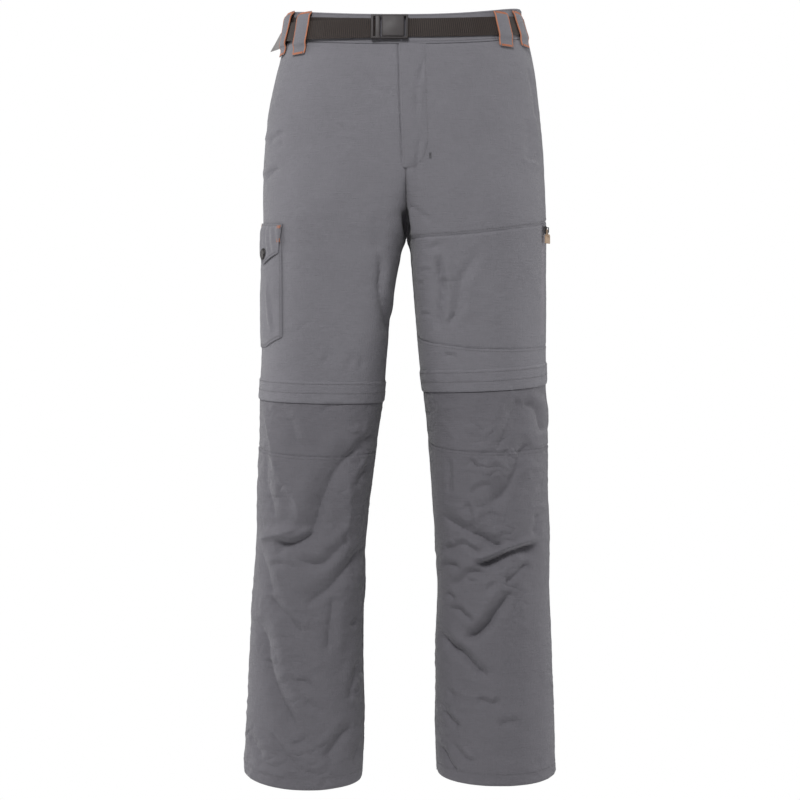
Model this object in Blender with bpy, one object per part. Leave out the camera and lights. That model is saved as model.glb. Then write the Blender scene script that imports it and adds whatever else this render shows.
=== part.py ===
# Zip-off cargo trousers with their own belt, filled out as worn and hanging from the waist.
# Metres, +Z up. The front faces -Y and the wearer's left is +X. The origin is the middle of the waist.
import math

import bmesh
import bpy
import numpy as np
from mathutils import Vector

# Cloth, band and seams
CLOTH = 0.0015            # wall of one panel
BAND = 0.0024             # folded waistband
BAND_OUT = 0.0005         # its outer face above the body line
SEAM_GAP = 0.0003         # between neighbouring pieces
LAP_GAP = 0.0003          # between a panel and what lies on it
NORMAL_STEP = 0.002       # stretch of cloth over which a direction is read

# Where the legs part, and how far above it the centre seams run back to the crotch
CROTCH_HEIGHT = -0.295
SEAM_RISE = {"front": 0.085, "back": 0.120}
SEAM_BEND = 1.7           # 1 for centre seams that run straight down to the crotch, 2 for fully rounded
LEG_SPREAD = 0.140        # height over which two legs turn into one trunk

# Body sections from the waist to the hems. Sides and inner seams are x, front and back are y.
SECTION_COLUMNS = ("height", "right side", "right inner", "left inner", "left side", "front", "back")
SECTIONS = (
    (0.050, -0.156, 0.000, 0.000, 0.168, -0.104, 0.106),
    (0.010, -0.158, 0.000, 0.000, 0.170, -0.105, 0.107),
    (-0.030, -0.163, 0.001, 0.001, 0.181, -0.110, 0.116),
    (-0.073, -0.173, 0.003, 0.003, 0.189, -0.116, 0.127),
    (-0.115, -0.182, 0.004, 0.004, 0.194, -0.119, 0.133),
    (-0.165, -0.188, 0.006, 0.006, 0.199, -0.120, 0.135),
    (-0.225, -0.191, 0.008, 0.008, 0.202, -0.117, 0.129),
    (-0.295, -0.1905, 0.009, 0.009, 0.2035, -0.111, 0.117),
    (-0.304, -0.1905, 0.005, 0.0125, 0.2035, -0.110, 0.116),
    (-0.330, -0.1905, -0.001, 0.0155, 0.2035, -0.108, 0.112),
    (-0.400, -0.192, -0.013, 0.0215, 0.2035, -0.103, 0.104),
    (-0.470, -0.194, -0.020, 0.0275, 0.203, -0.099, 0.099),
    (-0.520, -0.196, -0.0235, 0.033, 0.204, -0.096, 0.095),
    (-0.550, -0.196, -0.028, 0.0365, 0.2055, -0.095, 0.092),
    (-0.605, -0.1975, -0.034, 0.041, 0.2075, -0.094, 0.086),
    (-0.660, -0.2005, -0.041, 0.0455, 0.208, -0.090, 0.083),
    (-0.717, -0.2025, -0.0465, 0.0495, 0.209, -0.084, 0.084),
    (-0.775, -0.2055, -0.048, 0.051, 0.209, -0.079, 0.086),
    (-0.830, -0.209, -0.0505, 0.0495, 0.2105, -0.075, 0.085),
    (-0.900, -0.212, -0.0495, 0.0495, 0.212, -0.073, 0.081),
    (-0.970, -0.216, -0.0495, 0.0498, 0.2155, -0.073, 0.079),
    (-1.060, -0.220, -0.054, 0.051, 0.2195, -0.074, 0.078),
)

# How square a section's corners are, by height: outside the middle of the leg, and inside it
POWER_COLUMNS = ("height", "outer", "inner")
POWERS = (
    (0.050, 2.350, 3.0),
    (-0.170, 2.287, 3.4),
    (-0.290, 2.253, 5.5),
    (-0.380, 2.214, 5.0),
    (-0.520, 2.150, 2.8),
    (-0.700, 2.117, 2.5),
    (-1.060, 2.050, 2.1),
)

# Heights of the waist's level lines at the middle of the front, the side seams and the middle of the back
WAIST_COLUMNS = ("line", "front", "right side", "left side", "back")
WAIST_LINES = (
    ("top", -0.0045, 0.0160, 0.0215, 0.038),
    ("belt", -0.0236, -0.0055, -0.0045, 0.012),
    ("seam", -0.0450, -0.0245, -0.0215, -0.008),
)

# Seams and hems round a leg: heights at the side seam and the inner seam, and how far the middle hangs lower
EDGE_COLUMNS = ("edge", "side", "inner", "front dip", "back dip")
EDGES = {
    "right": (
        ("guard", -0.517, -0.522, 0.0065, 0.004),
        ("knee", -0.583, -0.589, 0.012, 0.012),
        ("hem", -1.036, -1.046, 0.010, 0.004),
    ),
    "left": (
        ("panel", -0.2695, -0.303, 0.0125, 0.0125),
        ("pocket", -0.442, -0.424, 0.019, 0.019),
        ("guard", -0.495, -0.508, 0.008, 0.004),
        ("knee", -0.581, -0.577, 0.013, 0.013),
        ("hem", -1.040, -1.038, 0.007, 0.004),
    ),
}

# Large folds. Each runs through three points seen straight on from its face, in metres, and is pushed
# in (negative) or stands out (positive) at its middle.
FOLD_COLUMNS = ("face", "x1", "z1", "x2", "z2", "x3", "z3", "half width", "push")
FOLDS = (
    ("front", -0.036, -0.575, -0.086, -0.620, -0.113, -0.690, 0.017, -0.006),
    ("front", -0.190, -0.705, -0.165, -0.702, -0.135, -0.693, 0.012, 0.005),
    ("front", -0.182, -0.722, -0.155, -0.718, -0.120, -0.712, 0.011, -0.005),
    ("front", -0.184, -0.560, -0.168, -0.620, -0.134, -0.685, 0.014, 0.004),
    ("front", -0.058, -0.742, -0.090, -0.765, -0.125, -0.790, 0.015, -0.005),
    ("front", -0.188, -0.820, -0.168, -0.905, -0.136, -0.975, 0.018, -0.006),
    ("front", -0.058, -0.945, -0.080, -0.975, -0.108, -1.000, 0.016, -0.004),
    ("front", 0.183, -0.575, 0.150, -0.630, 0.118, -0.660, 0.016, -0.005),
    ("front", 0.058, -0.680, 0.094, -0.700, 0.132, -0.718, 0.014, -0.004),
    ("front", 0.098, -0.745, 0.140, -0.733, 0.184, -0.712, 0.013, -0.006),
    ("front", 0.098, -0.728, 0.140, -0.716, 0.184, -0.696, 0.012, 0.004),
    ("front", 0.154, -0.778, 0.126, -0.815, 0.080, -0.842, 0.016, -0.006),
    ("front", 0.060, -0.836, 0.092, -0.868, 0.124, -0.898, 0.016, -0.005),
    ("front", 0.062, -0.940, 0.078, -0.968, 0.094, -0.998, 0.015, -0.004),
    ("front", 0.094, -0.335, 0.080, -0.372, 0.066, -0.410, 0.016, -0.003),
    ("back", -0.186, -0.610, -0.120, -0.622, -0.060, -0.604, 0.014, -0.006),
    ("back", -0.184, -0.660, -0.130, -0.650, -0.070, -0.672, 0.015, -0.005),
    ("back", -0.180, -0.760, -0.120, -0.800, -0.070, -0.860, 0.018, -0.005),
    ("back", 0.190, -0.604, 0.130, -0.620, 0.066, -0.612, 0.014, -0.006),
    ("back", 0.186, -0.668, 0.120, -0.652, 0.070, -0.662, 0.015, -0.005),
    ("back", 0.188, -0.780, 0.130, -0.830, 0.074, -0.866, 0.018, -0.005),
    ("back", -0.150, -0.250, -0.100, -0.290, -0.050, -0.315, 0.018, -0.004),
    ("back", 0.160, -0.250, 0.110, -0.290, 0.060, -0.315, 0.018, -0.004),
)
FOLD_FADE = 0.12          # part of a panel's width over which its folds die out towards a seam

# Grid of the cloth panels
PANEL_COLUMNS = 8
RING_COLUMNS = 8          # in each quarter of a ring
ARC_POINTS = 40           # points along each arc from which a section's length is measured
TRUNK_ROWS = (-0.070, -0.105, -0.140, -0.175, -0.208, -0.238, -0.262, -0.280, -0.291, -0.295)
THIGH_ROWS = (-0.304, -0.320, -0.350, -0.385, -0.420, -0.455, -0.487)
SHIN_ROWS = tuple(-0.545 - 0.026 * step for step in range(19))
ROW_HEIGHTS = TRUNK_ROWS + THIGH_ROWS + SHIN_ROWS
ROW_CLEARANCE = 0.006     # rows nearer than this to a panel's edge are left out

# Zip-off guards
GUARD_HEIGHT = 0.030
GUARD_COVER = 0.012       # how far the guard hangs past the thigh panels
ZIP_OFF_START = 0.002     # top of the lower leg above the guard's edge
ZIP_OFF_WALL = 0.0012
GUARD_OUT = 0.0012        # guard's inner face above the body line
LOWER_LEG_OUT = -0.0006   # lower leg's outer face, tucked under the guard

# Belt
WEBBING_WIDTH = 0.0255
WEBBING = 0.0015
BELT_OUT = 0.0013         # webbing's inner face above the body line
TAIL_START_SAG = 0.0015   # free end below the belt's middle where it leaves the buckle
TAIL_SAG = 0.0095         # and where it passes the side seam
TAIL_DROP = 0.0005        # how much lower again its tip hangs
TAIL_REACH = 0.12         # part of the back quarter that the free end reaches past the side
TAIL_FLARE = 0.020        # how far its tip's lower corner stands away from the body
TAIL_TWIST = 0.4          # part of that flare which the upper corner has

# Buckle, each size as (width along the belt, depth, height)
BUCKLE_HEIGHT = 0.0335
BODY_SIZE = (0.0360, 0.0078, BUCKLE_HEIGHT)
LATCH_SIZE = (0.0128, 0.0060, BUCKLE_HEIGHT)
BUCKLE_MIDDLE = -0.0072   # x of the body's middle
BUCKLE_SPLIT = 0.0004     # between the two halves
BUCKLE_OUT = 0.0012       # buckle's inner face above the body line
BODY_BEVEL = 0.0014
LATCH_BEVEL = 0.0012
SLOT_WIDTH = 0.0024
SLOT_HEIGHT = 0.0275
CUTTER_DEPTH = 0.030      # of the slots' cutters, more than the buckle's depth
BAR_WIDTH = 0.0022        # the bar that the webbing goes round, between slot and end

# Belt loops. Those at the wearer's right go over the belt's free end too, so they are longer.
LOOP_WIDTH = 0.0210
LOOPS = (                 # name, side, face, distance from the side seam at the belt's middle, that
                          # distance's growth per height, reach below the belt's middle
    ("loop_front_R", "right", "front", 0.082, -0.03, 0.0382),
    ("loop_side_R", "right", "front", 0.043, 0.20, 0.0380),
    ("loop_front_L", "left", "front", 0.088, -0.15, 0.0287),
    ("loop_side_L", "left", "front", 0.049, 0.00, 0.0287),
    ("loop_back_R", "right", "back", 0.085, 0.00, 0.0300),
    ("loop_back_L", "left", "back", 0.085, 0.00, 0.0300),
)
LOOP_BACK_BELOW = 0.0300  # reach of the loop at the middle of the back
LOOP_ABOVE = 0.0178
LOOP_TACK = 0.0020        # loop's end above the bend at its top
LOOP_LEAD = 0.0065        # below the webbing, where the loop comes down to the body
LOOP_ROOM = 0.0015        # between the webbing's edge and the bends
LOOP_STAND = BELT_OUT + WEBBING + 0.0008    # loop's inner face where it passes the webbing
LOOP_ON_BODY = LAP_GAP + 0.0009

# Fly
FLY_WIDTH = 0.033
FLY_OVERLAP = 0.0035      # past the middle, over the wearer's right front
FLY_END = -0.212
FLY_CURVE = 0.045         # height of the rounded lower corner
FLY_WALL = 0.0011
FLY_FOOT = 0.0040         # width of the lap at its lower end
FLY_ZIP_GAP = 0.0010      # between the fronts' inner faces and the zip
FLY_ZIP_WIDTH = 0.024
FLY_ZIP_WALL = 0.0016
FLY_ZIP_INSET = 0.0040    # its top below the waistband's seam

# Cargo pocket on the wearer's right thigh
POCKET_MIDDLE = 0.054     # middle of the pocket and its flap, in front of the side seam
POCKET_HALF = 0.0395
POCKET_TOP = -0.290
POCKET_BOTTOM = -0.436    # lower edge at its front corner
POCKET_POINT = 0.012      # how far that edge slants down to its middle, level from there on
POCKET_SWELL = 0.0030
FLAP_TOP = -0.2795
FLAP_TILT = 0.0044        # its two seams are this much lower at the front, and higher at the rear
FLAP_SIDE = -0.318        # lower edge at its ends
FLAP_POINT = 0.0172       # its middle hangs this much lower
FLAP_HALF = 0.0425        # half of its width at the top seam
FLAP_TAPER = 0.16         # part of that width lost at the lower edge
FLAP_GAP = 0.0004         # more room between the flap and the bag
FLAP_SHIFT = 0.004        # the flap swells as the bag does this much lower
SNAP_RADIUS = 0.0072
SNAP_DOME = 0.0022
SNAP_RIM = 0.0008
SNAP_HEIGHT = -0.3215
SNAP_DISTANCE = 0.0545

# Zip pocket on the wearer's left thigh
ZIP_TOP = -0.2815
ZIP_LENGTH = 0.150
ZIP_WIDTH = 0.013
ZIP_DISTANCE = 0.050      # in front of the side seam
ZIP_OUT = 0.0001          # zip's inner face above the body line
ZIP_WALL = 0.0014
SLIDER_SIZE = (0.0026, 0.0084, 0.0112)
SLIDER_BEVEL = 0.0009
SLIDER_INSET = 0.0010     # slider below the zip's top
SLIDER_GAP = 0.0007       # between the zip and the slider's foot
BRIDGE_WIDTH = 0.0024
BRIDGE_RISE = 0.0032
BRIDGE_HALF = 0.0036
BRIDGE_WALL = 0.0009
POST_FOOT = 0.0008        # how far the bridge's posts reach into the slider
BAR_RADIUS = 0.0007
BAR_SHIFT = 0.0001        # bar's axis outside the middle of the room under the bridge
BAR_INSET = 0.0001        # bar's ends inside the arms' outer faces
BAR_HALF = 0.0033
TAB_SIZE = (0.0014, 0.0102, 0.0116)
TAB_BEVEL = 0.0005
TAB_TWIST = math.radians(-30.0)     # of the tab's plate about its own length
TAB_ARM = (0.0010, 0.0012)          # depth and width of the two arms
TAB_START = 0.0062        # from the bar's axis down to the tab's collar
COLLAR_RADIUS = 0.0034
COLLAR_HEIGHT = 0.0016

# Colours
GREY_CLOTH = (0.180, 0.173, 0.184)
GREY_LOWER = (0.150, 0.144, 0.156)
BROWN_WEBBING = (0.045, 0.036, 0.034)
BLACK_PLASTIC = (0.070, 0.064, 0.064)
GREY_METAL = (0.30, 0.29, 0.28)
ORANGE_TAB = (0.60, 0.34, 0.20)


def clear_scene():
    """Remove whatever the file holds."""
    for obj in list(bpy.data.objects):
        bpy.data.objects.remove(obj, do_unlink=True)


def table_column(columns, rows, name):
    """One named column of a table, with its rows from the lowest height to the highest."""
    index = columns.index(name)
    return np.array([row[index] for row in rows][::-1], dtype=float)


def smooth_value(height, heights, values):
    """Cubic through a table's rows, each row's slope read from its two neighbours."""
    slopes = np.gradient(values, heights)
    row = np.clip(np.searchsorted(heights, height) - 1, 0, len(heights) - 2)
    span = heights[row + 1] - heights[row]
    t = np.clip((height - heights[row]) / span, 0.0, 1.0)
    low = (1 + 2 * t) * (1 - t) ** 2 * values[row] + t * (1 - t) ** 2 * span * slopes[row]
    high = t * t * (3 - 2 * t) * values[row + 1] - t * t * (1 - t) * span * slopes[row + 1]
    return low + high


SECTION_HEIGHTS = table_column(SECTION_COLUMNS, SECTIONS, "height")
POWER_HEIGHTS = table_column(POWER_COLUMNS, POWERS, "height")


def section_value(name, height):
    return smooth_value(height, SECTION_HEIGHTS, table_column(SECTION_COLUMNS, SECTIONS, name))


def inner_line(side, heights):
    """The centre seam above the crotch, straight between its rows, and the inner seam below it."""
    name = side + " inner"
    straight = np.interp(heights, SECTION_HEIGHTS, table_column(SECTION_COLUMNS, SECTIONS, name))
    return np.where(heights >= CROTCH_HEIGHT, straight, section_value(name, heights))


def power_value(name, height):
    return np.interp(height, POWER_HEIGHTS, table_column(POWER_COLUMNS, POWERS, name))


def smooth_step(value):
    value = np.clip(value, 0.0, 1.0)
    return value * value * (3 - 2 * value)


def side_sign(side):
    return 1.0 if side == "left" else -1.0


def quarter_arcs(side, face, heights):
    """Points of a quarter section from the side seam to the centre or inner seam, a row for each height.

    Two superellipse arcs meet at the middle of the leg. Above the crotch that middle moves to the
    centre seam, so the second arc shrinks to nothing and the quarter becomes part of the trunk.
    """
    side_x = section_value(side + " side", heights)
    inner_x = inner_line(side, heights) + side_sign(side) * SEAM_GAP / 2
    depth = section_value(face, heights)
    climb = np.clip((heights - CROTCH_HEIGHT) / SEAM_RISE[face], 0.0, 1.0)
    inner_y = depth * (1 - (1 - climb) ** SEAM_BEND)
    merge = smooth_step((heights - CROTCH_HEIGHT) / LEG_SPREAD)
    middle_x = (side_x + inner_x) / 2 * (1 - merge) + inner_x * merge

    angle = np.linspace(0.0, math.pi / 2, ARC_POINTS)
    outer = (2 / power_value("outer", heights))[:, None]
    inner = (2 / power_value("inner", heights))[:, None]
    cosine, sine = np.cos(angle).clip(0.0), np.sin(angle)
    outer_x = middle_x[:, None] + (side_x - middle_x)[:, None] * cosine ** outer
    outer_y = depth[:, None] * sine ** outer
    second_x = middle_x[:, None] + (inner_x - middle_x)[:, None] * sine ** inner
    second_y = inner_y[:, None] + (depth - inner_y)[:, None] * cosine ** inner
    xs = np.concatenate([outer_x, second_x[:, 1:]], axis=1)
    ys = np.concatenate([outer_y, second_y[:, 1:]], axis=1)
    steps = np.hypot(np.diff(xs), np.diff(ys))
    run = np.concatenate([np.zeros((len(heights), 1)), np.cumsum(steps, axis=1)], axis=1)
    whole = np.hypot(np.diff(second_x), np.diff(depth[:, None] * cosine ** inner)).sum(axis=1)
    return xs, ys, run, whole * (1 - merge)


def part_distance(part, run, second_share):
    """Distance of a part of the quarter from the side seam.

    The second arc's share changes slowly through the crotch, so a panel's columns don't jump sideways.
    """
    first = run[:, ARC_POINTS - 1]
    total = run[:, -1]
    nominal = part * (first + second_share)
    past = np.clip((nominal - first) / np.maximum(second_share, 1e-9), 0.0, 1.0)
    distance = np.where(nominal < first, nominal, first + past * (total - first))
    return np.clip(distance, SEAM_GAP / 2, total - SEAM_GAP / 2)


def along_quarter(side, face, heights, distance=None, part=None, from_centre=None):
    """Plan points at a distance from the side seam or centre, or at a part (0 to 1) of the quarter."""
    xs, ys, run, second_share = quarter_arcs(side, face, heights)
    total = run[:, -1]
    if part is not None:
        distance = part_distance(part, run, second_share)
    if from_centre is not None:
        distance = total - from_centre
    index = np.clip((run < distance[:, None]).sum(axis=1) - 1, 0, run.shape[1] - 2)
    rows = np.arange(len(heights))
    start, end = run[rows, index], run[rows, index + 1]
    blend = np.where(end > start, (distance - start) / np.maximum(end - start, 1e-9), 0.0)
    blend = np.clip(blend, 0.0, 1.0)
    x = xs[rows, index] * (1 - blend) + xs[rows, index + 1] * blend
    y = ys[rows, index] * (1 - blend) + ys[rows, index + 1] * blend
    return np.stack([x, y], axis=1)


def turned_outwards(tangent, side, face):
    """Direction square to a line that runs from the side seam to the inner seam, away from the body."""
    length = np.maximum(np.linalg.norm(tangent, axis=1, keepdims=True), 1e-9)
    tangent = tangent / length
    turn = side_sign(side) * (1.0 if face == "front" else -1.0)
    return turn * np.stack([-tangent[:, 1], tangent[:, 0]], axis=1)


def fold_push(face, xs, zs):
    """How far the large folds move the cloth: a soft bell across each, faded towards its ends."""
    push = np.zeros_like(xs)
    for fold in FOLDS:
        row = dict(zip(FOLD_COLUMNS, fold))
        if row["face"] != face:
            continue
        nearest = np.full_like(xs, 1e9)
        for start, end in (("1", "2"), ("2", "3")):
            ax, az = row["x" + start], row["z" + start]
            bx, bz = row["x" + end], row["z" + end]
            length = (bx - ax) ** 2 + (bz - az) ** 2
            t = np.clip(((xs - ax) * (bx - ax) + (zs - az) * (bz - az)) / length, 0.0, 1.0)
            nearest = np.minimum(nearest, np.hypot(xs - ax - t * (bx - ax), zs - az - t * (bz - az)))
        push += row["push"] * np.exp(-(nearest / row["half width"]) ** 2)
    return push


def body_points(side, face, parts, heights, out, folded=True):
    """Points of the cloth at parts of a quarter and at heights, moved out of the body line by out."""
    parts, heights = np.broadcast_arrays(parts, heights)
    shape = parts.shape
    flat_part, flat_height = parts.ravel(), heights.ravel()
    lengths = quarter_arcs(side, face, flat_height)[2][:, -1]
    step = NORMAL_STEP / lengths
    here = along_quarter(side, face, flat_height, part=flat_part)
    ahead = along_quarter(side, face, flat_height, part=np.clip(flat_part + step, 0.0, 1.0))
    behind = along_quarter(side, face, flat_height, part=np.clip(flat_part - step, 0.0, 1.0))
    outward = turned_outwards(ahead - behind, side, face)
    move = np.broadcast_to(out, shape).ravel().copy()
    if folded:
        fade = smooth_step(np.minimum(flat_part, 1 - flat_part) / FOLD_FADE)
        move += fade * fold_push(face, here[:, 0], flat_height)
    plan = here + outward * move[:, None]
    return np.concatenate([plan, flat_height[:, None]], axis=1).reshape(shape + (3,))


def around_side(side, distances, heights, out):
    """Points on the body at distances from a side seam, positive to the front and negative to the back."""
    distances, heights, out = np.broadcast_arrays(distances, heights, out)
    shape = distances.shape
    flat = distances.ravel()
    height = heights.ravel()

    def plan_at(distance):
        front = along_quarter(side, "front", height, distance=np.maximum(distance, 0.0))
        back = along_quarter(side, "back", height, distance=np.maximum(-distance, 0.0))
        return np.where((distance >= 0)[:, None], front, back)

    tangent = plan_at(flat + NORMAL_STEP) - plan_at(flat - NORMAL_STEP)
    outward = turned_outwards(tangent, side, "front")
    plan = plan_at(flat) + outward * out.ravel()[:, None]
    return np.concatenate([plan, height[:, None]], axis=1).reshape(shape + (3,))


def around_centre(face, distances, heights, out):
    """Points at distances from a centre seam, positive to the wearer's left."""
    distances, heights, out = np.broadcast_arrays(distances, heights, out)
    shape = distances.shape
    flat = distances.ravel()
    height = heights.ravel()

    def plan_at(distance):
        left = along_quarter("left", face, height, from_centre=np.maximum(distance, 0.0))
        right = along_quarter("right", face, height, from_centre=np.maximum(-distance, 0.0))
        return np.where((distance >= 0)[:, None], left, right)

    tangent = plan_at(flat - NORMAL_STEP) - plan_at(flat + NORMAL_STEP)
    outward = turned_outwards(tangent, "left", face)
    plan = plan_at(flat) + outward * out.ravel()[:, None]
    return np.concatenate([plan, height[:, None]], axis=1).reshape(shape + (3,))


def depth_share(face, parts):
    """Square of the part of the waist's depth that is reached at parts of a quarter, 0 at the side seam."""
    parts = np.asarray(parts, dtype=float)
    flat = parts.ravel()
    plan = along_quarter("left", face, np.zeros_like(flat), part=flat)
    reached = np.clip(plan[:, 1] / section_value(face, 0.0), 0.0, 1.0)
    return (reached ** 2).reshape(parts.shape)


def waist_row(name):
    return {line[0]: dict(zip(WAIST_COLUMNS, line)) for line in WAIST_LINES}[name]


def waist_line(name, side, face, parts):
    """Height of a waist line at parts of a quarter. It leans nearly as one plane on each face."""
    row = waist_row(name)
    start = row[side + " side"]
    return start + (row[face] - start) * depth_share(face, parts)


def leg_edge(name, side, face, parts):
    """Height of a seam or hem round a leg at parts of a quarter."""
    row = {line[0]: dict(zip(EDGE_COLUMNS, line)) for line in EDGES[side]}[name]
    parts = np.asarray(parts, dtype=float)
    straight = row["side"] + (row["inner"] - row["side"]) * parts
    return straight - row[face + " dip"] * np.sin(math.pi * parts)


def plain_material(name, colour, roughness, metallic=0.0):
    material = bpy.data.materials.new(name)
    material.use_nodes = True
    shader = material.node_tree.nodes["Principled BSDF"]
    shader.inputs["Base Color"].default_value = (*colour, 1.0)
    shader.inputs["Roughness"].default_value = roughness
    shader.inputs["Metallic"].default_value = metallic
    return material


def finish_object(obj, colour, roughness, metallic=0.0, smooth_angle=50.0):
    """Give an object its own material and smooth shading up to an angle."""
    obj.data.materials.clear()
    obj.data.materials.append(plain_material(obj.name, colour, roughness, metallic))
    obj.data.shade_smooth()
    obj.data.set_sharp_from_angle(angle=math.radians(smooth_angle))
    return obj


def add_object(name, mesh):
    obj = bpy.data.objects.new(name, mesh)
    bpy.context.scene.collection.objects.link(obj)
    return obj


def wall(name, outer, inner, colour, roughness=0.85, closed=False):
    """One closed solid between two matching grids of points, outer and inner.

    Each cell is cut along the same diagonal on both faces, so a thin wall never crosses itself.
    """
    rows, columns = outer.shape[:2]
    points = np.concatenate([outer.reshape(-1, 3), inner.reshape(-1, 3)])
    shift = rows * columns
    triangles = []
    for row in range(rows - 1):
        for column in range(columns if closed else columns - 1):
            beside = (column + 1) % columns
            a, d = row * columns + column, row * columns + beside
            b, c = a + columns, d + columns
            triangles += [(a, b, c), (a, c, d)]
            triangles += [(a + shift, c + shift, b + shift), (a + shift, d + shift, c + shift)]
    for column in range(columns if closed else columns - 1):
        beside = (column + 1) % columns
        last = (rows - 1) * columns
        triangles += [(column, beside, beside + shift), (column, beside + shift, column + shift)]
        b, c = last + column, last + beside
        triangles += [(c, b, b + shift), (c, b + shift, c + shift)]
    if not closed:
        for row in range(rows - 1):
            a, b = row * columns, (row + 1) * columns
            d, c = a + columns - 1, b + columns - 1
            triangles += [(b, a, a + shift), (b, a + shift, b + shift)]
            triangles += [(d, c, c + shift), (d, c + shift, d + shift)]
    mesh = bpy.data.meshes.new(name)
    mesh.from_pydata([tuple(point) for point in points], [], triangles)
    work = bmesh.new()
    work.from_mesh(mesh)
    bmesh.ops.recalc_face_normals(work, faces=work.faces)
    work.to_mesh(mesh)
    work.free()
    return finish_object(add_object(name, mesh), colour, roughness)


def panel_heights(top, bottom):
    """Heights of a panel's grid. The listed rows hold at its inner seam and lean evenly to the side."""
    first, last = top[-1], bottom[-1]
    rows = [first]
    rows += [row for row in ROW_HEIGHTS if last + ROW_CLEARANCE < row < first - ROW_CLEARANCE]
    rows.append(last)
    share = ((np.array(rows) - first) / (last - first))[:, None]
    return top[None, :] + (bottom - top)[None, :] * share


def add_panel(name, side, face, top, bottom, out=0.0, colour=GREY_CLOTH):
    """One cut panel, from its top seam line to its bottom seam line, as functions of the part."""
    parts = np.linspace(0.0, 1.0, PANEL_COLUMNS + 1)
    heights = panel_heights(top(parts) - SEAM_GAP / 2, bottom(parts) + SEAM_GAP / 2)
    outer = body_points(side, face, parts[None, :], heights, out)
    inner = body_points(side, face, parts[None, :], heights, out - CLOTH)
    return wall(name, outer, inner, colour)


def waistband_pieces():
    """Two fronts that meet under the buckle, and one back from side seam to side seam."""
    parts = np.linspace(0.0, 1.0, PANEL_COLUMNS + 1)
    shares = np.linspace(0.0, 1.0, 3)[:, None]

    def grid(side, face, out, along):
        top = waist_line("top", side, face, along)
        seam = waist_line("seam", side, face, along) + SEAM_GAP
        return body_points(side, face, along[None, :], top + (seam - top) * shares, out, folded=False)

    for side, letter in (("right", "R"), ("left", "L")):
        outer = grid(side, "front", BAND_OUT, parts)
        inner = grid(side, "front", BAND_OUT - BAND, parts)
        wall("waistband_front_" + letter, outer, inner, GREY_CLOTH)

    def whole_back(out):
        right = grid("right", "back", out, parts)
        left = grid("left", "back", out, parts[::-1])
        return np.concatenate([right, left[:, 1:]], axis=1)

    wall("waistband_back", whole_back(BAND_OUT), whole_back(BAND_OUT - BAND), GREY_CLOTH)


def leg_panels(side, letter):
    """Thigh, knee, shin and calf panels of one leg."""

    def waist_seam(face):
        return lambda parts: waist_line("seam", side, face, parts)

    def edge(name, face, raise_by=0.0):
        return lambda parts: leg_edge(name, side, face, parts) + raise_by

    if side == "right":
        add_panel("front_R", side, "front", waist_seam("front"), edge("guard", "front", GUARD_COVER))
    else:
        add_panel("front_hip_L", side, "front", waist_seam("front"), edge("panel", "front"))
        add_panel("thigh_panel_L", side, "front", edge("panel", "front"), edge("pocket", "front"))
        add_panel("thigh_lower_L", side, "front", edge("pocket", "front"),
                  edge("guard", "front", GUARD_COVER))
    add_panel("back_" + letter, side, "back", waist_seam("back"), edge("guard", "back", GUARD_COVER))

    add_panel("knee_" + letter, side, "front", edge("guard", "front", ZIP_OFF_START),
              edge("knee", "front"), LOWER_LEG_OUT, GREY_LOWER)
    add_panel("shin_" + letter, side, "front", edge("knee", "front"), edge("hem", "front"),
              LOWER_LEG_OUT, GREY_LOWER)
    add_panel("calf_" + letter, side, "back", edge("guard", "back", ZIP_OFF_START),
              edge("hem", "back"), LOWER_LEG_OUT, GREY_LOWER)


def leg_ring(name, side, high, low, out, thickness, colour):
    """A band all round one leg, between two heights above the guard's lower edge."""
    parts = np.linspace(0.0, 1.0, RING_COLUMNS + 1)

    def loop(move):
        quarters = []
        for face, along in (("front", parts), ("back", parts[::-1])):
            edge = leg_edge("guard", side, face, along)
            heights = np.stack([edge + high, edge + low])
            quarters.append(body_points(side, face, along[None, :], heights, move, folded=False))
        return np.concatenate([quarters[0][:, :-1], quarters[1][:, :-1]], axis=1)

    return wall(name, loop(out), loop(out - thickness), colour, closed=True)


def zip_off_rings(side, letter):
    """The guard that hangs over each zip, and the closed zip under it."""
    leg_ring("zip_guard_" + letter, side, GUARD_HEIGHT, 0.0, GUARD_OUT + CLOTH, CLOTH, GREY_CLOTH)
    high = GUARD_COVER - SEAM_GAP
    low = ZIP_OFF_START + SEAM_GAP
    leg_ring("zip_off_" + letter, side, high, low, -LAP_GAP, ZIP_OFF_WALL, BLACK_PLASTIC)


def buckle_ends():
    """Distances from the centre seam to the buckle's two ends, at the wearer's right and left."""
    centre = float(section_value("left inner", waist_row("belt")["front"]))
    right = centre - BUCKLE_MIDDLE + BODY_SIZE[0] / 2 + BUCKLE_SPLIT + LATCH_SIZE[0] + SEAM_GAP
    left = BUCKLE_MIDDLE + BODY_SIZE[0] / 2 - centre + SEAM_GAP
    return {"right": right, "left": left}


def belt_route():
    """Quarters of the belt's way round the waist, from the buckle's left end to its right end.

    Its points stand over the waistband's own points, so the two never cross.
    """
    parts = np.linspace(0.0, 1.0, RING_COLUMNS + 1)
    height = np.array([waist_row("belt")["front"]])
    fronts = {}
    for side, inset in buckle_ends().items():
        length = quarter_arcs(side, "front", height)[2][0, -1]
        last = 1.0 - inset / length
        fronts[side] = np.append(parts[parts < last - 0.02], last)
    return (
        ("left", "front", fronts["left"][::-1]),
        ("left", "back", parts[1:]),
        ("right", "back", 1.0 - parts[1:]),
        ("right", "front", fronts["right"][1:]),
    )


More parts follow.
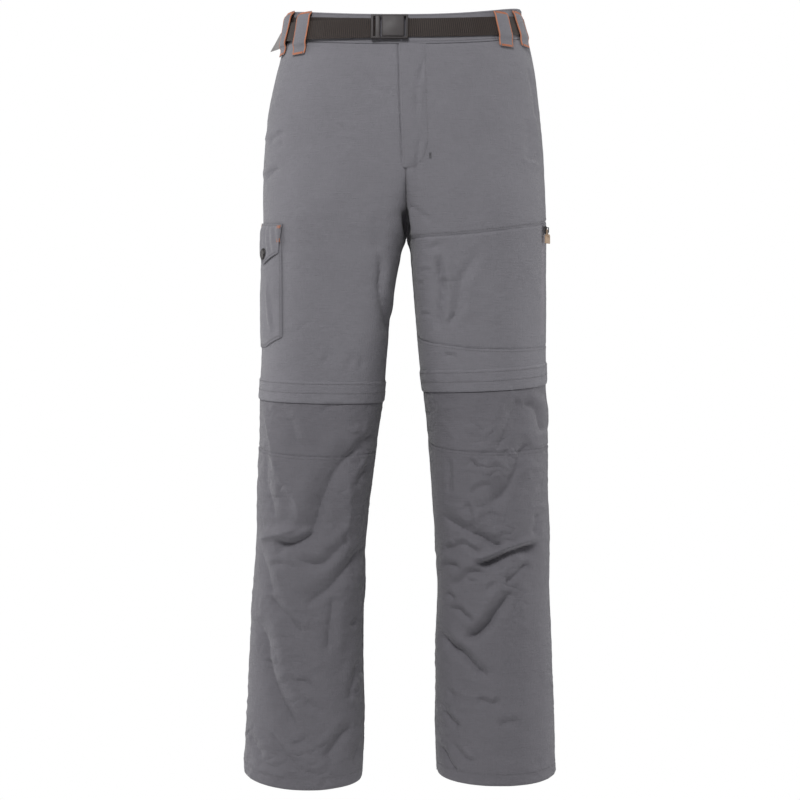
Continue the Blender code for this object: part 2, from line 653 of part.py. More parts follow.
def add_webbing():
    """The belt's webbing, one strap round the waistband with its ends at the buckle."""

    def strap(out):
        quarters = []
        for side, face, along in belt_route():
            middle = waist_line("belt", side, face, along)
            heights = np.stack([middle + WEBBING_WIDTH / 2, middle - WEBBING_WIDTH / 2])
            quarters.append(body_points(side, face, along[None, :], heights, out, folded=False))
        return np.concatenate(quarters, axis=1)

    wall("belt_webbing", strap(BELT_OUT + WEBBING), strap(BELT_OUT), BROWN_WEBBING, 0.7)


def add_belt_tail():
    """The spare webbing, doubled over the belt from the buckle through both loops at the wearer's right."""
    on_belt = belt_route()[3][2][::-1]
    past = np.linspace(0.0, 1.0, 4)
    base = BELT_OUT + WEBBING + LAP_GAP

    def strap(out):
        sag = TAIL_SAG + (TAIL_START_SAG - TAIL_SAG) * on_belt / on_belt[0]
        middle = waist_line("belt", "right", "front", on_belt) - sag
        heights = np.stack([middle + WEBBING_WIDTH / 2, middle - WEBBING_WIDTH / 2])
        held = body_points("right", "front", on_belt[None, :], heights, out, folded=False)
        middle = waist_line("belt", "right", "back", past * TAIL_REACH) - TAIL_SAG - TAIL_DROP * past
        heights = np.stack([middle + WEBBING_WIDTH / 2, middle - WEBBING_WIDTH / 2])
        flare = TAIL_FLARE * past ** 1.5 * np.array([[TAIL_TWIST], [1.0]])
        free = body_points("right", "back", past[None, :] * TAIL_REACH, heights, out + flare, folded=False)
        return np.concatenate([held, free], axis=1)

    wall("belt_tail", strap(base + WEBBING), strap(base), BROWN_WEBBING, 0.7)


def loop_profile(stand, below, sag):
    """Rows of a belt loop from its lower end to its upper end: height from the belt's middle, and out."""
    half = WEBBING_WIDTH / 2
    return np.array([
        (-below, LOOP_ON_BODY),
        (-half - sag - LOOP_LEAD, LOOP_ON_BODY),
        (-half - sag - LOOP_ROOM, stand),
        (half + LOOP_ROOM, stand),
        (LOOP_ABOVE, LOOP_ON_BODY),
        (LOOP_ABOVE + LOOP_TACK, LOOP_ON_BODY),
    ])


def add_belt_loops():
    """Loops stand over the belt and are tacked to the body above and below it."""
    across = np.linspace(-LOOP_WIDTH / 2, LOOP_WIDTH / 2, 3)[None, :]
    for name, side, face, distance, slant, below in LOOPS:
        over_tail = side == "right" and face == "front"
        stand = LOOP_STAND + (WEBBING + LAP_GAP if over_tail else 0.0)
        signed = distance if face == "front" else -distance
        profile = loop_profile(stand, below, TAIL_SAG if over_tail else 0.0)
        heights, out = waist_height_at(side, signed) + profile[:, :1], profile[:, 1:]
        distances = signed + slant * profile[:, :1] + across
        outer = around_side(side, distances, heights, out + CLOTH)
        inner = around_side(side, distances, heights, out)
        wall(name, outer, inner, GREY_CLOTH)
    profile = loop_profile(LOOP_STAND, LOOP_BACK_BELOW, 0.0)
    heights, out = waist_row("belt")["back"] + profile[:, :1], profile[:, 1:]
    outer = around_centre("back", across, heights, out + CLOTH)
    inner = around_centre("back", across, heights, out)
    wall("loop_back_centre", outer, inner, GREY_CLOTH)


def waist_height_at(side, distance):
    """Height of the belt's middle at a distance from a side seam."""
    face = "front" if distance >= 0 else "back"
    height = waist_line("belt", side, face, np.array([0.5]))
    length = quarter_arcs(side, face, height)[2][0, -1]
    return float(waist_line("belt", side, face, abs(distance) / length))


def rounded_block(name, size, bevel, segments=2):
    """A box of a size with its edges rounded, centred on its object's origin."""
    mesh = bpy.data.meshes.new(name)
    work = bmesh.new()
    bmesh.ops.create_cube(work, size=1.0)
    bmesh.ops.scale(work, vec=Vector(size), verts=work.verts)
    bmesh.ops.bevel(work, geom=work.edges[:], offset=bevel, segments=segments, affect="EDGES")
    work.to_mesh(mesh)
    work.free()
    return add_object(name, mesh)


def plain_block(name, size, place):
    """A box of a size with its middle at a place."""
    mesh = bpy.data.meshes.new(name)
    work = bmesh.new()
    bmesh.ops.create_cube(work, size=1.0)
    bmesh.ops.scale(work, vec=Vector(size), verts=work.verts)
    bmesh.ops.translate(work, vec=Vector(place), verts=work.verts)
    work.to_mesh(mesh)
    work.free()
    return add_object(name, mesh)


def hide_tool(obj, parent):
    """Mark an object as a cutter or a joined tool that isn't itself part of the trousers."""
    obj.hide_render = True
    obj.display_type = "WIRE"
    obj.parent = parent
    return obj


def combine(obj, tool, operation):
    modifier = obj.modifiers.new(tool.name, "BOOLEAN")
    modifier.operation = operation
    modifier.solver = "EXACT"
    modifier.object = tool


def add_buckle():
    """Side-release buckle: a body with one webbing slot, and a latch half with its own slot."""
    middle = waist_row("belt")["front"]
    ends = np.array([middle - BUCKLE_HEIGHT / 2, middle, middle + BUCKLE_HEIGHT / 2])
    front = around_centre("front", np.zeros(3), ends, np.zeros(3))
    lean = math.atan2(front[2, 1] - front[0, 1], BUCKLE_HEIGHT)
    away = Vector((0.0, -math.cos(lean), math.sin(lean)))

    def seat(x, depth):
        return Vector((x, front[1, 1], middle)) + away * (BUCKLE_OUT + depth / 2)

    body = rounded_block("buckle_body", BODY_SIZE, BODY_BEVEL)
    body.location = seat(BUCKLE_MIDDLE, BODY_SIZE[1])
    body.rotation_euler = (-lean, 0.0, 0.0)
    right_slot = BODY_SIZE[0] / 2 - BAR_WIDTH - SLOT_WIDTH / 2
    cutter = plain_block("cut_body_slot", (SLOT_WIDTH, CUTTER_DEPTH, SLOT_HEIGHT), (right_slot, 0.0, 0.0))
    combine(body, hide_tool(cutter, body), "DIFFERENCE")
    finish_object(body, BLACK_PLASTIC, 0.45, smooth_angle=40.0)

    latch = rounded_block("buckle_latch", LATCH_SIZE, LATCH_BEVEL)
    latch_x = BUCKLE_MIDDLE - BODY_SIZE[0] / 2 - BUCKLE_SPLIT - LATCH_SIZE[0] / 2
    latch.location = seat(latch_x, LATCH_SIZE[1])
    latch.rotation_euler = (-lean, 0.0, 0.0)
    left_slot = -LATCH_SIZE[0] / 2 + BAR_WIDTH + SLOT_WIDTH / 2
    cutter = plain_block("cut_latch_slot", (SLOT_WIDTH, CUTTER_DEPTH, SLOT_HEIGHT), (left_slot, 0.0, 0.0))
    combine(latch, hide_tool(cutter, latch), "DIFFERENCE")
    finish_object(latch, BLACK_PLASTIC, 0.45, smooth_angle=40.0)


def add_fly():
    """The turned edge of the wearer's left front, lapped over the right, and the zip behind it."""
    waist_seam = waist_row("seam")["front"]
    heights = np.linspace(waist_seam - 2 * SEAM_GAP, FLY_END, 9)
    curve = np.clip((heights - FLY_END) / FLY_CURVE, 0.0, 1.0)
    reach = (FLY_WIDTH - FLY_FOOT) * np.sqrt(1 - (1 - curve) ** 2) + FLY_FOOT
    share = np.linspace(0.0, 1.0, 4)
    distances = -FLY_OVERLAP + (reach[:, None] + FLY_OVERLAP) * share[None, :]
    tall = np.broadcast_to(heights[:, None], distances.shape)
    outer = around_centre("front", distances, tall, LAP_GAP + FLY_WALL)
    inner = around_centre("front", distances, tall, LAP_GAP)
    wall("fly_lap", outer, inner, GREY_CLOTH)

    tall = np.linspace(waist_seam - FLY_ZIP_INSET, FLY_END + FLY_ZIP_INSET, 7)[:, None]
    distances = np.linspace(-FLY_ZIP_WIDTH / 2, FLY_ZIP_WIDTH / 2, 3)[None, :]
    behind = -CLOTH - FLY_ZIP_GAP
    outer = around_centre("front", distances, tall, behind)
    inner = around_centre("front", distances, tall, behind - FLY_ZIP_WALL)
    wall("fly_zip", outer, inner, BLACK_PLASTIC)


def pocket_swell(distances, heights):
    """How far the pocket's cloth bellies out in its middle."""
    across = 1 - ((distances - POCKET_MIDDLE) / POCKET_HALF) ** 2
    up = (heights - (POCKET_BOTTOM - POCKET_POINT)) / (POCKET_TOP - POCKET_BOTTOM + POCKET_POINT)
    along = np.sin(math.pi * np.clip(up, 0.0, 1.0)) ** 0.7
    return POCKET_SWELL * np.clip(across, 0.0, 1.0) ** 0.6 * along


def add_cargo_pocket():
    """Patch pocket in front of the side seam, its pointed flap and the flap's snap."""
    across = np.linspace(-1.0, 1.0, 11)[None, :]
    bottom = POCKET_BOTTOM - POCKET_POINT * (1 - np.clip(across, 0.0, 1.0))
    share = np.linspace(0.0, 1.0, 8)[:, None]
    heights = POCKET_TOP + (bottom - POCKET_TOP) * share
    spread = np.broadcast_to(POCKET_MIDDLE + POCKET_HALF * across, heights.shape)
    swell = pocket_swell(spread, heights)
    outer = around_side("right", spread, heights, LAP_GAP + CLOTH + swell)
    inner = around_side("right", spread, heights, LAP_GAP)
    wall("cargo_bag_R", outer, inner, GREY_CLOTH)

    upper = FLAP_TOP - FLAP_TILT * across
    lower = FLAP_SIDE - FLAP_TILT * across - FLAP_POINT * (1 - np.abs(across))
    share = np.array([0.0, 0.16, 0.42, 0.72, 1.0])[:, None]
    heights = upper + (lower - upper) * share
    spread = POCKET_MIDDLE + FLAP_HALF * across * (1 - FLAP_TAPER * share)
    lift = smooth_step((upper - heights) / (upper - POCKET_TOP))
    over_bag = CLOTH + LAP_GAP + FLAP_GAP + pocket_swell(spread, heights - FLAP_SHIFT)
    flap_out = LAP_GAP + lift * over_bag
    outer = around_side("right", spread, heights, flap_out + CLOTH)
    inner = around_side("right", spread, heights, flap_out)
    wall("cargo_flap_R", outer, inner, GREY_CLOTH)

    seat = np.array([SNAP_DISTANCE])
    height = np.array([SNAP_HEIGHT])
    swell = float(pocket_swell(seat, height - FLAP_SHIFT)[0])
    rest = 2 * CLOTH + 4 * LAP_GAP + FLAP_GAP + swell
    place = around_side("right", seat, height, np.array([rest]))[0]
    ahead = around_side("right", seat, height, np.array([rest + 0.01]))[0]
    direction = Vector(ahead - place).normalized()
    add_snap(Vector(place), direction)


def add_snap(place, direction):
    """Domed snap cap, turned about its axis."""
    angle = np.linspace(0.0, math.pi / 2, 5)
    radii = SNAP_RADIUS * np.cos(angle)
    lifts = SNAP_RIM + SNAP_DOME * np.sin(angle)
    work = bmesh.new()
    segments = 20
    rings = [(SNAP_RADIUS, 0.0)] + list(zip(radii[:-1], lifts[:-1]))
    loops = []
    for radius, lift in rings:
        loop = []
        for step in range(segments):
            turn = 2 * math.pi * step / segments
            loop.append(work.verts.new((radius * math.cos(turn), radius * math.sin(turn), lift)))
        loops.append(loop)
    for low, high in zip(loops[:-1], loops[1:]):
        for step in range(segments):
            after = (step + 1) % segments
            work.faces.new((low[step], low[after], high[after], high[step]))
    crown = work.verts.new((0.0, 0.0, lifts[-1]))
    for step in range(segments):
        work.faces.new((loops[-1][step], loops[-1][(step + 1) % segments], crown))
    work.faces.new(list(reversed(loops[0])))
    bmesh.ops.recalc_face_normals(work, faces=work.faces)
    mesh = bpy.data.meshes.new("snap_cap")
    work.to_mesh(mesh)
    work.free()
    snap = add_object("snap_cap", mesh)
    snap.rotation_mode = "QUATERNION"
    snap.rotation_quaternion = direction.to_track_quat("Z", "Y")
    snap.location = place
    finish_object(snap, GREY_METAL, 0.35, 1.0, smooth_angle=35.0)


def add_side_zip():
    """Zip of the wearer's left thigh pocket, with its slider at the top and the pull tab hanging."""
    rows = np.linspace(ZIP_TOP, ZIP_TOP - ZIP_LENGTH, 7)
    distances = ZIP_DISTANCE + np.array([-ZIP_WIDTH / 2, 0.0, ZIP_WIDTH / 2])
    spread = np.broadcast_to(distances[None, :], (len(rows), 3))
    tall = np.broadcast_to(rows[:, None], spread.shape)
    outer = around_side("left", spread, tall, ZIP_OUT + ZIP_WALL)
    inner = around_side("left", spread, tall, ZIP_OUT)
    wall("side_zip_L", outer, inner, GREY_METAL)

    distance = np.array([ZIP_DISTANCE])
    height = np.array([ZIP_TOP - SLIDER_SIZE[2] / 2 - SLIDER_INSET])
    seat = around_side("left", distance, height, np.array([ZIP_OUT + ZIP_WALL + SLIDER_GAP]))[0]
    skin = around_side("left", distance, height, np.array([0.0]))[0]
    add_slider(Vector(seat), Vector(seat - skin).normalized())


def round_bar(name, radius, length, axis):
    """A short round bar along an axis, centred on its object's origin."""
    mesh = bpy.data.meshes.new(name)
    work = bmesh.new()
    bmesh.ops.create_cone(work, cap_ends=True, segments=12, radius1=radius, radius2=radius, depth=length)
    turn = Vector((0, 0, 1)).rotation_difference(Vector(axis)).to_matrix()
    bmesh.ops.rotate(work, verts=work.verts, matrix=turn)
    work.to_mesh(mesh)
    work.free()
    return add_object(name, mesh)


def add_slider(seat, outward):
    """Slider with a bridge, and a pull tab whose round bar turns under that bridge.

    The slider's and the tab's own x points away from the thigh, y along the bar and z up.
    """
    turn = (0.0, 0.0, math.atan2(outward.y, outward.x))
    depth = SLIDER_SIZE[0]
    slider = rounded_block("slider_L", SLIDER_SIZE, SLIDER_BEVEL)
    slider.location = seat + outward * (depth / 2)
    slider.rotation_euler = turn
    top = depth / 2
    for end in (-1, 1):
        post = plain_block("tool_post", (BRIDGE_RISE + POST_FOOT, BRIDGE_WIDTH, BRIDGE_WALL),
                           (top + (BRIDGE_RISE - POST_FOOT) / 2, 0.0, end * (BRIDGE_HALF - BRIDGE_WALL / 2)))
        combine(slider, hide_tool(post, slider), "UNION")
    roof = plain_block("tool_roof", (BRIDGE_WALL, BRIDGE_WIDTH, 2 * BRIDGE_HALF),
                       (top + BRIDGE_RISE - BRIDGE_WALL / 2, 0.0, 0.0))
    combine(slider, hide_tool(roof, slider), "UNION")
    finish_object(slider, GREY_METAL, 0.4, 1.0, smooth_angle=35.0)

    tab = rounded_block("pull_tab_L", TAB_SIZE, TAB_BEVEL, 2)
    for vertex in tab.data.vertices:
        x, y = vertex.co.x, vertex.co.y
        vertex.co.x = x * math.cos(TAB_TWIST) - y * math.sin(TAB_TWIST)
        vertex.co.y = x * math.sin(TAB_TWIST) + y * math.cos(TAB_TWIST)
        vertex.co.z -= TAB_START + COLLAR_HEIGHT / 2 + TAB_SIZE[2] / 2
    tab.location = seat + outward * (depth + (BRIDGE_RISE - BRIDGE_WALL) / 2 + BAR_SHIFT)
    tab.rotation_euler = turn
    arm_length = TAB_START + COLLAR_HEIGHT / 2
    for end in (-1, 1):
        arm = plain_block("tool_arm", (TAB_ARM[0], TAB_ARM[1], arm_length),
                          (0.0, end * (BAR_HALF - TAB_ARM[1] / 2), -arm_length / 2))
        combine(tab, hide_tool(arm, tab), "UNION")
    collar = round_bar("tool_collar", COLLAR_RADIUS, COLLAR_HEIGHT, (0, 0, 1))
    collar.location = (0.0, 0.0, -TAB_START - COLLAR_HEIGHT / 2)
    combine(tab, hide_tool(collar, tab), "UNION")
    bar = round_bar("tool_bar", BAR_RADIUS, 2 * (BAR_HALF - BAR_INSET), (0, 1, 0))
    combine(tab, hide_tool(bar, tab), "UNION")
    finish_object(tab, ORANGE_TAB, 0.5, smooth_angle=35.0)


def main():
    clear_scene()
    waistband_pieces()
    for side, letter in (("right", "R"), ("left", "L")):
        leg_panels(side, letter)
        zip_off_rings(side, letter)
    add_fly()
    add_webbing()
    add_belt_tail()
    add_belt_loops()
    add_buckle()
    add_cargo_pocket()
    add_side_zip()


main()
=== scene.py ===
# Looks of zip-off cargo trousers with their own belt, filled out as worn and hanging from the waist.
# Metres, +Z up, the front faces -Y and the wearer's left is +X. Folds are written in millimetres.
import math

import bmesh
import bpy
import numpy as np
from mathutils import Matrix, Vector


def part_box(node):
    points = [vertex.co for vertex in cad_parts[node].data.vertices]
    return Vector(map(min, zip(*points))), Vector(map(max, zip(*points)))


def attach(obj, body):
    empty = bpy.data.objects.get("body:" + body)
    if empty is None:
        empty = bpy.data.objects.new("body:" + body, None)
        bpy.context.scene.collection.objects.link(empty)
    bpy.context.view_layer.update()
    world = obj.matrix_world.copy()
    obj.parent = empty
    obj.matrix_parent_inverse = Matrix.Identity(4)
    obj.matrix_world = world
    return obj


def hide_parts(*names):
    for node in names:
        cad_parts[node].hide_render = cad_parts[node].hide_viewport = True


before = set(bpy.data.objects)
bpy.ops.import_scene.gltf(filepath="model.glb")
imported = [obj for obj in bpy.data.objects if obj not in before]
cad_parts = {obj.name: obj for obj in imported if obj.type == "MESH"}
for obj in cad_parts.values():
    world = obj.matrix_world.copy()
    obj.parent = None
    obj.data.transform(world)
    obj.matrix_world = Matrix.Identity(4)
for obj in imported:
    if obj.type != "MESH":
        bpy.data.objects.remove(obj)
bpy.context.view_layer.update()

# The view, which also places the folds
camera = {"distance": 2.4, "height": -0.521, "lens": 77.14}
# The shape has the same rows as the solids, so that each piece lies on its solid.
# The gap is all but closed, because the panels meet at their seams.
seamGap = 0.00002
lapGap = 0.0003
crotchHeight = -0.295
seamRise = {"front": 0.085, "back": 0.120}
seamBend = 1.7
legSpread = 0.140
sectionColumns = ("height", "right side", "right inner", "left inner", "left side", "front", "back")
sections = (
    (0.050, -0.156, 0.000, 0.000, 0.168, -0.104, 0.106),
    (0.010, -0.158, 0.000, 0.000, 0.170, -0.105, 0.107),
    (-0.030, -0.163, 0.001, 0.001, 0.181, -0.110, 0.116),
    (-0.073, -0.173, 0.003, 0.003, 0.189, -0.116, 0.127),
    (-0.115, -0.182, 0.004, 0.004, 0.194, -0.119, 0.133),
    (-0.165, -0.188, 0.006, 0.006, 0.199, -0.120, 0.135),
    (-0.225, -0.191, 0.008, 0.008, 0.202, -0.117, 0.129),
    (-0.295, -0.1905, 0.009, 0.009, 0.2035, -0.111, 0.117),
    (-0.304, -0.1905, 0.005, 0.0125, 0.2035, -0.110, 0.116),
    (-0.330, -0.1905, -0.001, 0.0155, 0.2035, -0.108, 0.112),
    (-0.400, -0.192, -0.013, 0.0215, 0.2035, -0.103, 0.104),
    (-0.470, -0.194, -0.020, 0.0275, 0.203, -0.099, 0.099),
    (-0.520, -0.196, -0.0235, 0.033, 0.204, -0.096, 0.095),
    (-0.550, -0.196, -0.028, 0.0365, 0.2055, -0.095, 0.092),
    (-0.605, -0.1975, -0.034, 0.041, 0.2075, -0.094, 0.086),
    (-0.660, -0.2005, -0.041, 0.0455, 0.208, -0.090, 0.083),
    (-0.717, -0.2025, -0.0465, 0.0495, 0.209, -0.084, 0.084),
    (-0.775, -0.2055, -0.048, 0.051, 0.209, -0.079, 0.086),
    (-0.830, -0.209, -0.0505, 0.0495, 0.2105, -0.075, 0.085),
    (-0.900, -0.212, -0.0495, 0.0495, 0.212, -0.073, 0.081),
    (-0.970, -0.216, -0.0495, 0.0498, 0.2155, -0.073, 0.079),
    (-1.060, -0.220, -0.054, 0.051, 0.2195, -0.074, 0.078),
)
powerColumns = ("height", "outer", "inner")
powers = ((0.050, 2.350, 3.0), (-0.170, 2.287, 3.4), (-0.290, 2.253, 5.5), (-0.380, 2.214, 5.0),
          (-0.520, 2.150, 2.8), (-0.700, 2.117, 2.5), (-1.060, 2.050, 2.1))
waistColumns = ("front", "right side", "left side", "back")
waistLines = {
    "top": (-0.0045, 0.0160, 0.0215, 0.038),
    "belt": (-0.0236, -0.0055, -0.0045, 0.012),
    "seam": (-0.0450, -0.0245, -0.0215, -0.008),
}
edgeColumns = ("side", "inner", "front", "back")    # heights at both seams, and how far the middle dips
edges = {
    "right": {"guard": (-0.517, -0.522, 0.0065, 0.004), "knee": (-0.583, -0.589, 0.012, 0.012),
              "hem": (-1.036, -1.046, 0.010, 0.004)},
    "left": {"panel": (-0.2695, -0.303, 0.0125, 0.0125), "pocket": (-0.442, -0.424, 0.019, 0.019),
             "guard": (-0.495, -0.508, 0.008, 0.004), "knee": (-0.581, -0.577, 0.013, 0.013),
             "hem": (-1.040, -1.038, 0.007, 0.004)},
}
# Folds as seen from the front: depth (positive goes in), width on the left of the way it runs, width
# on its right, then the points x, z that it runs through
legFoldsRight = (
    (-2.4, 16, 6, -193, -518, -182, -568, -174, -619, -148, -661, -137, -694),
    (2.5, 7, 7, -189, -594, -185, -647, -175, -689),
    (1.6, 8, 8, -176, -531, -155, -552, -146, -578, -122, -589),
    (1.2, 4, 5, -111, -539, -97, -529, -78, -528),
    (2, 6, 7, -67, -602, -52, -580, -32, -566),
    (6, 15, 13, -126, -710, -118, -694, -106, -657, -83, -612, -35, -577),
    (-2.5, 10, 10, -77, -710, -70, -675, -73, -619),
    (2, 5, 6, -62, -644, -53, -627, -42, -612),
    (6.5, 5, 13, -178, -721, -144, -720, -114, -704),
    (-4, 9, 5, -199, -717, -175, -711, -140, -701),
    (3.6, 9, 9, -147, -743, -129, -750, -107, -750, -89, -733, -62, -708),
    (1.8, 5, 6, -186, -753, -168, -750, -157, -752, -144, -759),
    (5, 12, 9, -134, -811, -116, -797, -96, -783, -78, -765, -60, -742, -52, -722),
    (2.2, 7, 6, -199, -726, -190, -753, -182, -779, -178, -796),
    (3, 8, 7, -183, -792, -171, -811, -158, -823, -145, -841, -139, -849),
    (3, 9, 7, -94, -792, -96, -823, -99, -851, -100, -878),
    (1.5, 4, 4, -66, -840, -57, -826),
    (5.5, 12, 12, -203, -823, -189, -860, -182, -897, -171, -933, -158, -961, -141, -990),
    (2, 5, 8, -160, -904, -149, -913, -129, -918, -121, -928),
    (1.6, 5, 8, -134, -942, -121, -950, -106, -960),
    (3, 7, 6, -71, -941, -63, -918, -56, -889),
    (4.5, 9, 10, -110, -1023, -96, -1014, -85, -997, -72, -984, -59, -977),
    (1.8, 4, 6, -153, -1002, -143, -1002, -129, -994),
    (2, 7, 7, -182, -986, -169, -1004, -158, -1021, -139, -1036),
    (2.4, 6, 6, -213, -984, -202, -1005, -192, -1023),
    (2, 5, 5, -66, -1028, -59, -1007),
)
legFoldsLeft = (
    (2, 10, 12, 138, -587, 147, -565, 160, -533, 171, -523),
    (2.4, 7, 10, 171, -523, 189, -534, 198, -556, 202, -567),
    (1.2, 4, 4, 133, -587, 145, -582),
    (3.8, 22, 11, 121, -666, 141, -658, 154, -642, 163, -624, 174, -594, 190, -578),
    (1.6, 16, 16, 136, -606, 152, -580, 166, -548, 184, -528),
    (1, 4, 5, 98, -655, 108, -644, 132, -638),
    (1, 4, 5, 108, -690, 123, -682, 138, -684),
    (3.2, 10, 6, 55, -679, 74, -695, 98, -708, 114, -713, 134, -724, 152, -719),
    (1.6, 5, 7, 90, -667, 98, -679, 98, -704),
    (2, 5, 7, 59, -732, 72, -728, 88, -724, 101, -730, 112, -737),
    (1.6, 5, 5, 57, -754, 72, -753, 86, -757),
    (6.5, 5, 14, 101, -753, 123, -748, 145, -739, 171, -730, 196, -721),
    (2.6, 6, 8, 68, -781, 83, -774, 94, -765, 105, -763, 125, -766),
    (1.2, 4, 4, 90, -772, 107, -777),
    (3, 9, 6, 147, -777, 156, -774, 169, -761, 185, -750),
    (1.2, 5, 5, 120, -788, 136, -776),
    (5, 9, 8, 85, -855, 101, -852, 113, -845, 127, -832, 136, -816, 147, -803, 164, -784),
    (1.8, 4, 5, 65, -790, 76, -801),
    (2, 5, 6, 65, -812, 81, -814, 90, -823, 105, -833),
    (4.2, 8, 7, 54, -845, 68, -864, 85, -875, 101, -891, 110, -900, 127, -911),
    (1.8, 5, 8, 105, -939, 120, -944, 130, -948, 141, -940),
    (1.5, 6, 7, 138, -979, 149, -974, 169, -970),
    (2.4, 5, 6, 61, -957, 74, -972, 83, -979),
    (1.3, 4, 4, 65, -926, 76, -937),
    (1.8, 4, 6, 72, -1001, 83, -1014, 92, -1023, 108, -1027),
    (2.4, 4, 5, 57, -1005, 68, -1027, 81, -1043),
    (1.2, 3, 4, 99, -600, 105, -611, 116, -618),
    (1.4, 4, 4, 67, -600, 69, -653),
    (1.5, 5, 5, 193, -679, 187, -710),
)
thighFolds = (
    (1.8, 4, 5, -183, -162, -177, -155, -161, -145),
    (1, 4, 4, -176, -169, -163, -161),
    (2, 4, 6, -189, -216, -180, -203, -169, -196),
    (3.2, 6, 7, -29, -311, -27, -340, -27, -368, -23, -390, -19, -411, -20, -433),
    (1.2, 10, 10, -33, -265, -30, -315),
    (0.9, 5, 5, -110, -475, -96, -451),
    (0.9, 5, 5, -74, -483, -67, -458),
    (0.9, 5, 5, -56, -480, -52, -462),
    (0.8, 5, 5, -50, -56, -39, -80, -21, -90, -3, -84),
    (1, 4, 4, 35, -41, 28, -67, 24, -78, 22, -101, 23, -136),
    (1.1, 3.5, 5, 29, -149, 26, -172, 24, -195, 27, -211),
    (0.7, 2, 2, 19, -226, 36, -228),
    (1.4, 3, 4, 14, -248, 29, -258, 42, -270),
    (4.5, 4, 6, 8, -252, 10, -272, 13, -300),
    (-1.0, 6, 8, 187, -120, 191, -150, 192, -179),
    (1.1, 7, 7, 176, -120, 180, -155, 179, -180),
    (-1.2, 2.5, 3.5, 170, -181, 180, -188, 193, -190),
    (1.3, 1.8, 1.8, 178, -48, 186, -92, 193, -140),
    (1.2, 4, 5, 37, -313, 46, -306, 57, -301),
    (3.4, 6, 6, 56, -318, 55, -328, 57, -344, 59, -361, 58, -382, 56, -404, 53, -425),
    (1.2, 3, 3, 58, -352, 66, -358),
    (2, 8, 9, 110, -304, 103, -323, 93, -340, 86, -358, 83, -382, 77, -401, 69, -414),
    (1.6, 3, 3, 67, -415, 80, -397),
    (1.2, 3, 4, 27, -341, 44, -338),
    (1.2, 3, 3, 26, -358, 34, -360),
    (1, 3, 3, 29, -402, 43, -402),
    (1.4, 3, 4, 61, -455, 69, -458, 81, -460),
)
backFolds = (
    (3.5, 13, 16, -150, -250, -100, -290, -50, -315),
    (2.0, 9, 12, -160, -300, -118, -336, -72, -352),
    (3.2, 14, 15, 160, -250, 110, -290, 60, -315),
    (1.8, 10, 11, 172, -292, 128, -330, 84, -344),
    (1.6, 14, 12, -120, -120, -80, -150, -30, -160),
    (1.4, 12, 14, 132, -112, 88, -146, 34, -158),
    (5.5, 10, 14, -186, -610, -120, -622, -60, -604),
    (4.5, 12, 9, -184, -660, -130, -650, -70, -672),
    (2.4, 8, 9, -172, -700, -120, -712, -82, -700),
    (4.6, 13, 15, -180, -760, -120, -800, -70, -860),
    (3.0, 10, 9, -190, -880, -150, -912, -104, -930),
    (3.6, 9, 12, -96, -930, -80, -972, -64, -1010),
    (2.2, 8, 8, -196, -960, -170, -996, -140, -1018),
    (5.2, 11, 13, 190, -604, 130, -620, 66, -612),
    (4.2, 9, 12, 186, -668, 120, -652, 70, -662),
    (2.6, 9, 8, 176, -706, 130, -716, 88, -702),
    (4.8, 14, 12, 188, -780, 130, -830, 74, -866),
    (2.6, 8, 10, 76, -800, 100, -812, 124, -800),
    (3.2, 10, 12, 66, -910, 92, -950, 118, -972),
    (2.4, 9, 8, 196, -930, 166, -968, 140, -990),
    (1.2, 7, 7, -140, -420, -110, -452, -90, -480),
    (1.3, 8, 7, 150, -400, 118, -430, 96, -462),
)


def smoothStep(value):
    # 0 below 0, 1 above 1, and 3t^2 - 2t^3 between them
    value = np.clip(value, 0.0, 1.0)
    return value * value * (3 - 2 * value)


def column(columns, rows, name):
    # one named column of a table, from its lowest height to its highest
    return np.array([row[columns.index(name)] for row in rows][::-1], dtype=float)


sectionHeights = column(sectionColumns, sections, "height")
powerHeights = column(powerColumns, powers, "height")


def sectionValue(name, heights):
    # cubic through the rows, each row's slope read from its two neighbours
    values = column(sectionColumns, sections, name)
    slopes = np.gradient(values, sectionHeights)
    row = np.clip(np.searchsorted(sectionHeights, heights) - 1, 0, len(sectionHeights) - 2)
    span = sectionHeights[row + 1] - sectionHeights[row]
    t = np.clip((heights - sectionHeights[row]) / span, 0.0, 1.0)
    low = (1 + 2 * t) * (1 - t) ** 2 * values[row] + t * (1 - t) ** 2 * span * slopes[row]
    high = t * t * (3 - 2 * t) * values[row + 1] - t * t * (1 - t) * span * slopes[row + 1]
    return low + high


def innerLine(side, heights):
    # the centre seam runs straight between its rows, the inner seam below the crotch runs smoothly
    name = side + " inner"
    straight = np.interp(heights, sectionHeights, column(sectionColumns, sections, name))
    return np.where(heights >= crotchHeight, straight, sectionValue(name, heights))


tableStep = 0.0015
tableHeights = np.arange(-1.068, 0.0505, tableStep)
tableShares = 401


